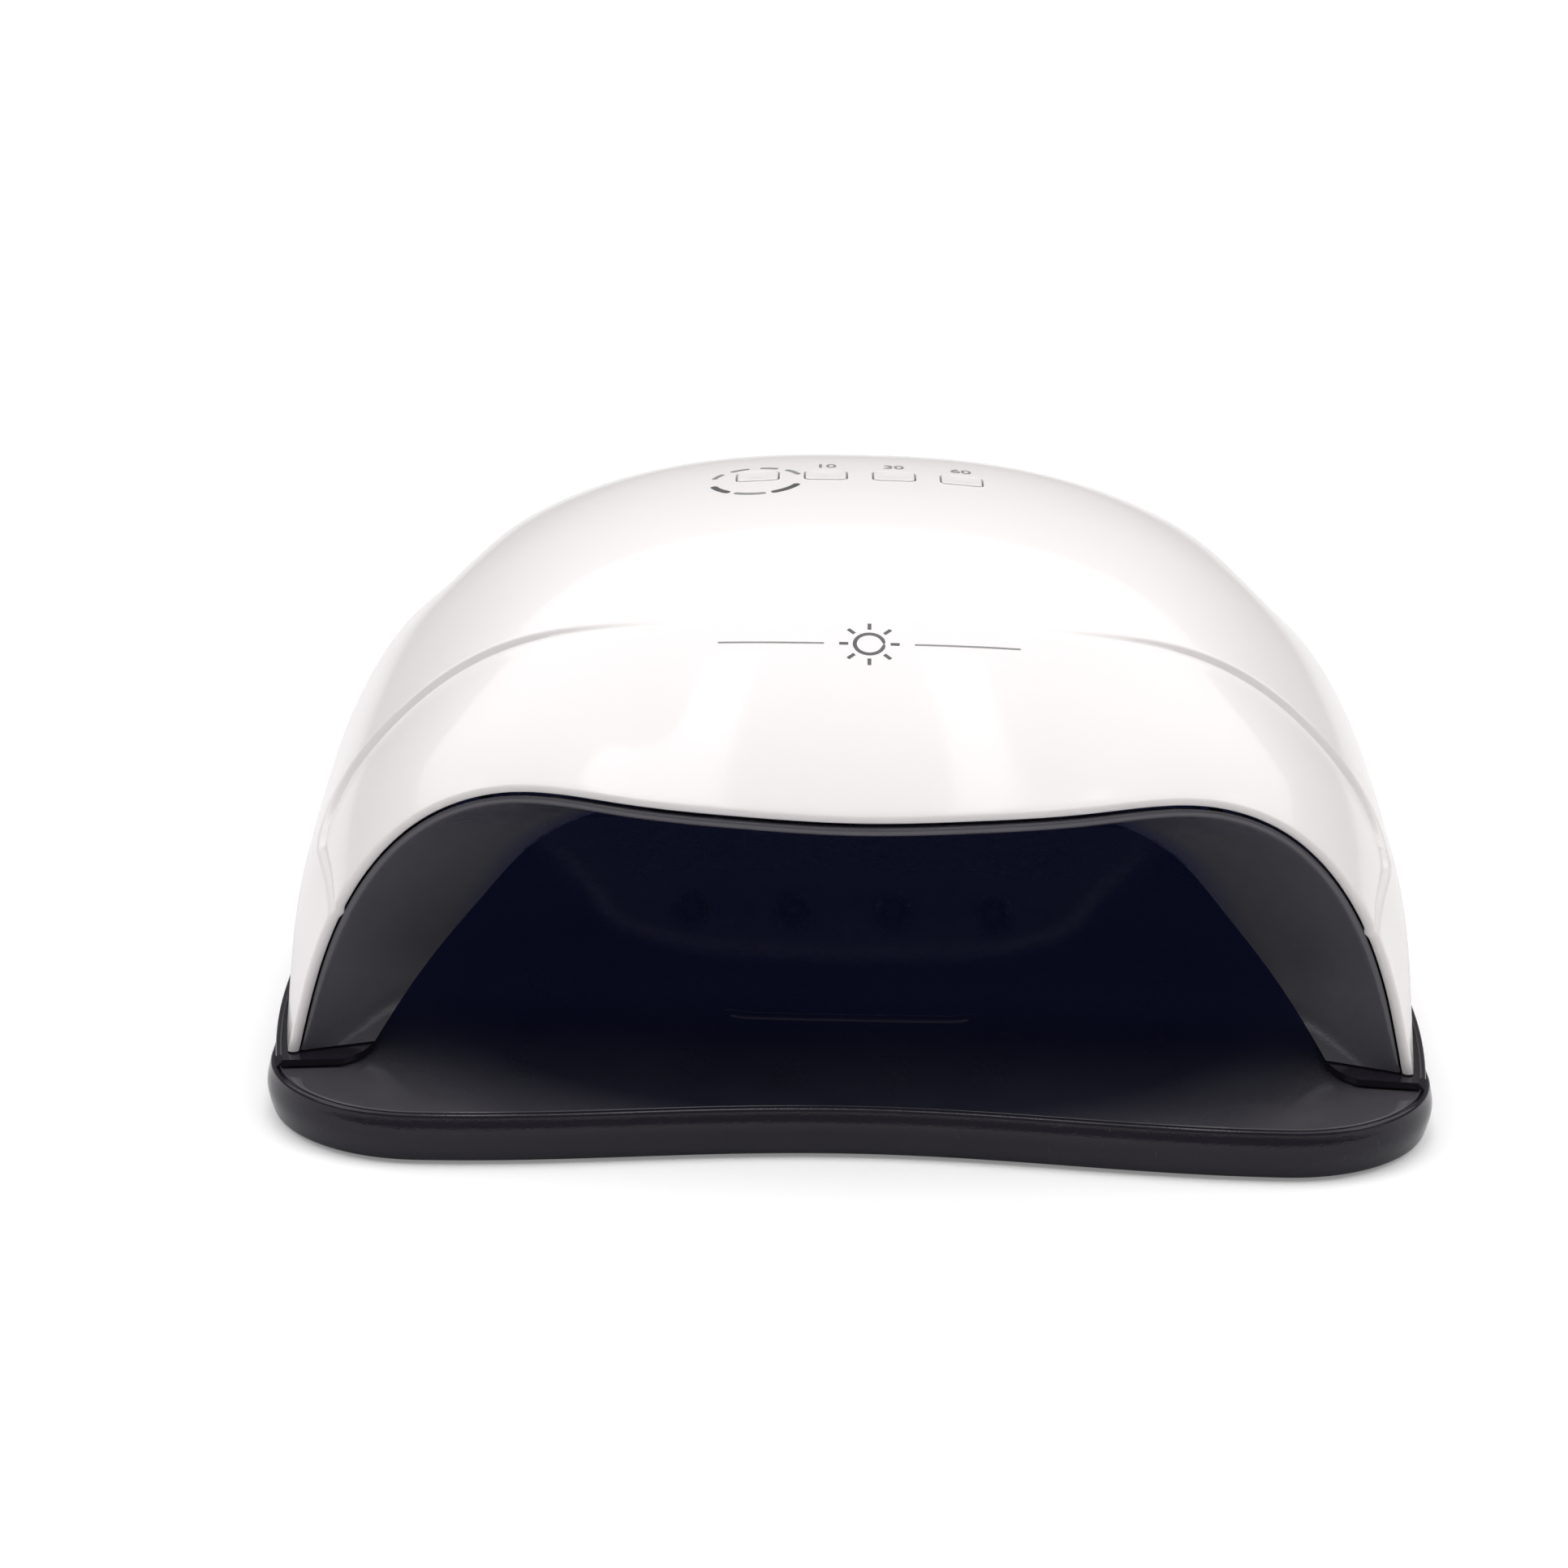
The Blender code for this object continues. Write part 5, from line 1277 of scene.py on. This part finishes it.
# ---------------------------------------------------------------------------------------------
# Printed marks. Grey ink, a few hundredths thick, laid on the dome: a broken ring round the
# first key, the curing times behind the other three, and a plain sun sign on the front.

INK_LIFT, INK_SINK = 0.035, 0.06


def printed_ink(name, dark, light):
    """Printed ink: satin grey with a fine screen pattern and slightly thin patches."""
    material, tree, shader = new_material(name, dark, 0.42)
    place = node(tree, "ShaderNodeTexCoord").outputs["Object"]
    screen = node(tree, "ShaderNodeTexNoise", {"Vector": place, "Scale": 2500.0, "Detail": 2.0})
    thin = node(tree, "ShaderNodeTexNoise", {"Vector": place, "Scale": 160.0, "Detail": 3.0})
    both = node(tree, "ShaderNodeMath", {0: screen.outputs["Fac"], 1: thin.outputs["Fac"]},
                operation="MULTIPLY").outputs[0]
    tree.links.new(blend_colour(tree, between(tree, both, 0.15, 0.40), dark, light),
                   shader.inputs["Base Color"])
    bump = node(tree, "ShaderNodeBump", {"Height": screen.outputs["Fac"], "Strength": 0.3,
                                         "Distance": 0.000008})
    tree.links.new(bump.outputs[0], shader.inputs["Normal"])
    return material


ink_dark = printed_ink("ink_dark", (0.055, 0.055, 0.060), (0.085, 0.085, 0.090))
ink_grey = printed_ink("ink_grey", (0.20, 0.20, 0.21), (0.27, 0.27, 0.28))


def laid(flat, slope=0.0):
    """Flat marks (x, way, side) laid on the dome, relief included; side 1 is the ink's face."""
    theta, t = on_dome(flat[..., 0], flat[..., 1], slope)
    place, normal = dome_plain(theta, t)
    lift = np.where(flat[..., 2] > 0, INK_LIFT, -INK_SINK) + dome_relief(place, theta, t)
    return place + normal * lift[..., None]


def print_piece(name, points, faces, material):
    """One printed mark from millimetre points, riding on the housing."""
    mesh = bpy.data.meshes.new(name)
    mesh.from_pydata((points.reshape(-1, 3) * MM).tolist(), [], faces)
    return place_mesh(name, mesh, "housing", material, 50.0)


def arc_strokes(centre, radius, stroke, spans, steps=24):
    """Strokes along arcs: each is a closed bar of four-cornered sections, ends eased."""
    strokes = []
    for start, end in spans:
        turn = np.radians(np.linspace(start, end, steps))
        ease = np.sqrt(np.clip(1 - (np.abs(np.linspace(-1, 1, steps)) ** 18), 0.12, 1))
        sections = []
        for out, side in ((-1, 0), (1, 0), (1, 1), (-1, 1)):
            reach = radius + out * stroke / 2 * ease
            sections.append(np.stack([centre[0] + reach * np.cos(turn),
                                      centre[1] + reach * np.sin(turn),
                                      np.full(steps, side)], axis=-1))
        strokes.append(np.array(sections).transpose(1, 0, 2))
    return np.array(strokes), prism_faces(4, steps, len(spans))


RING_CENTRE, RING_RADIUS, RING_STROKE = (-21.6, 5.0), 9.5, 1.5
marks, faces = arc_strokes(RING_CENTRE, RING_RADIUS, RING_STROKE, [(196, 234), (290, 338)])
print_piece("ring_print_dark", laid(marks), faces, ink_dark)
marks, faces = arc_strokes(RING_CENTRE, RING_RADIUS, RING_STROKE * 0.8,
                           [(241, 283), (20, 50), (62, 86), (100, 126), (139, 163)])
print_piece("ring_print_grey", laid(marks), faces, ink_grey)


def number_print(name, text, x, y, size):
    """A number set in the built-in plain face, made a mesh and laid on the dome's top."""
    letters = bpy.data.curves.new(name, "FONT")
    letters.body, letters.size = text, size
    letters.align_x, letters.align_y = "CENTER", "CENTER"
    letters.extrude, letters.offset, letters.resolution_u = 0.5, 0.09, 6
    flat = bpy.data.objects.new(name, letters)
    bpy.context.collection.objects.link(flat)
    bpy.context.view_layer.update()
    mesh = bpy.data.meshes.new_from_object(flat.evaluated_get(
        bpy.context.evaluated_depsgraph_get()))
    bpy.data.objects.remove(flat, do_unlink=True)
    points = np.empty(3 * len(mesh.vertices))
    mesh.vertices.foreach_get("co", points)
    points = points.reshape(-1, 3) + (x, y, 0.0)
    mesh.vertices.foreach_set("co", (laid(points) * MM).ravel())
    mesh.materials.clear()
    return place_mesh(name, mesh, "housing", ink_grey, 50.0)


for text, x in zip(("10", "30", "60"), KEY_X[1:]):
    number_print(f"time_{text}_print", text, x, 15.4, 4.6)


SUN_SLOPE = math.radians(31.0)
SUN_PLACE, SUN_RADIUS = (2.0, -5.0), 2.9
marks, faces = arc_strokes(SUN_PLACE, SUN_RADIUS, 0.8, [(1, 359)], 64)
print_piece("sun_ring_print", laid(marks, SUN_SLOPE), faces, ink_dark)


def bar_strokes(starts, ends, half, steps=10):
    """Straight strokes from starts to ends, with blunt tapered ends."""
    starts, ends = np.asarray(starts, float), np.asarray(ends, float)
    share = np.linspace(0, 1, steps)[None, :, None]
    line = starts[:, None, :] + (ends - starts)[:, None, :] * share
    along = (ends - starts) / np.linalg.norm(ends - starts, axis=1, keepdims=True)
    side = np.stack([-along[:, 1], along[:, 0]], axis=1)[:, None, :] * half
    corners = []
    for out, face in ((-1, 0), (1, 0), (1, 1), (-1, 1)):
        corners.append(np.concatenate([line + side * out,
                                       np.full((len(line), steps, 1), float(face))], axis=-1))
    return np.stack(corners, axis=2), prism_faces(4, steps, len(line))


ray_turn = np.radians(np.arange(0, 360, 45))
ray = np.stack([np.cos(ray_turn), np.sin(ray_turn)], axis=1)
marks, faces = bar_strokes(ray * 4.2 + SUN_PLACE, ray * 6.0 + SUN_PLACE, 0.38)
print_piece("sun_rays_print", laid(marks, SUN_SLOPE), faces, ink_dark)
marks, faces = bar_strokes([(-28.0, -5.0), (11.0, -5.0)], [(-7.0, -5.0), (32.0, -5.0)], 0.24, 40)
print_piece("rule_print", laid(marks, SUN_SLOPE), faces, ink_grey)

# ---------------------------------------------------------------------------------------------
# Power inlet. A black barrel socket behind, between the vents. A nickel pin stands in its bore,
# and a low-voltage plug pushes onto it.

BARREL_PROFILE = [(0.0, -0.8), (5.5, -0.8), (5.5, 12.6), (5.35, 12.9), (5.1, 13.0),
                  (3.5, 13.0), (3.2, 12.8), (3.1, 12.5), (3.1, 3.0), (0.0, 3.0)]
PIN_PROFILE = [(0.0, 2.6), (1.0, 2.6), (1.0, 10.9), (0.9, 11.3), (0.55, 11.5), (0.0, 11.55)]
SPRING_PROFILE = [(3.08, 4.0), (3.08, 11.0), (2.95, 11.2), (2.8, 11.0), (2.8, 4.0)]
component_black = moulded_black("component_black", (0.018, 0.018, 0.018), (0.026, 0.026, 0.026),
                                0.30, 0.42, 0.00003, 0.3)
barrel = turned_piece("inlet_barrel", BARREL_PROFILE, [inlet_seat], "housing",
                      component_black)
turned_piece("inlet_pin", PIN_PROFILE, [inlet_seat], "housing",
             magnet_plating, 32)
turned_piece("inlet_spring", SPRING_PROFILE, [inlet_seat], "housing",
             magnet_plating, 48)
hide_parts("power_inlet")

# ---------------------------------------------------------------------------------------------
# Inside the housing. The control board hangs under the keys with its four switches, and the
# driver board stands behind the chamber. Thin leads join them to the lamps and the inlet.

lead_black = moulded_black("lead_black", (0.020, 0.020, 0.021), (0.030, 0.030, 0.031),
                           0.38, 0.5, 0.00004, 0.2)
for name, material in (("lead", lead_black), ("switch", component_black),
                       ("control_board", board_green), ("driver_board", board_green),
                       ("board_screw", screw_steel)):
    for label in nodes:
        if name in label and "lamp_board" not in label:
            nodes[label].material_slots[0].material = material
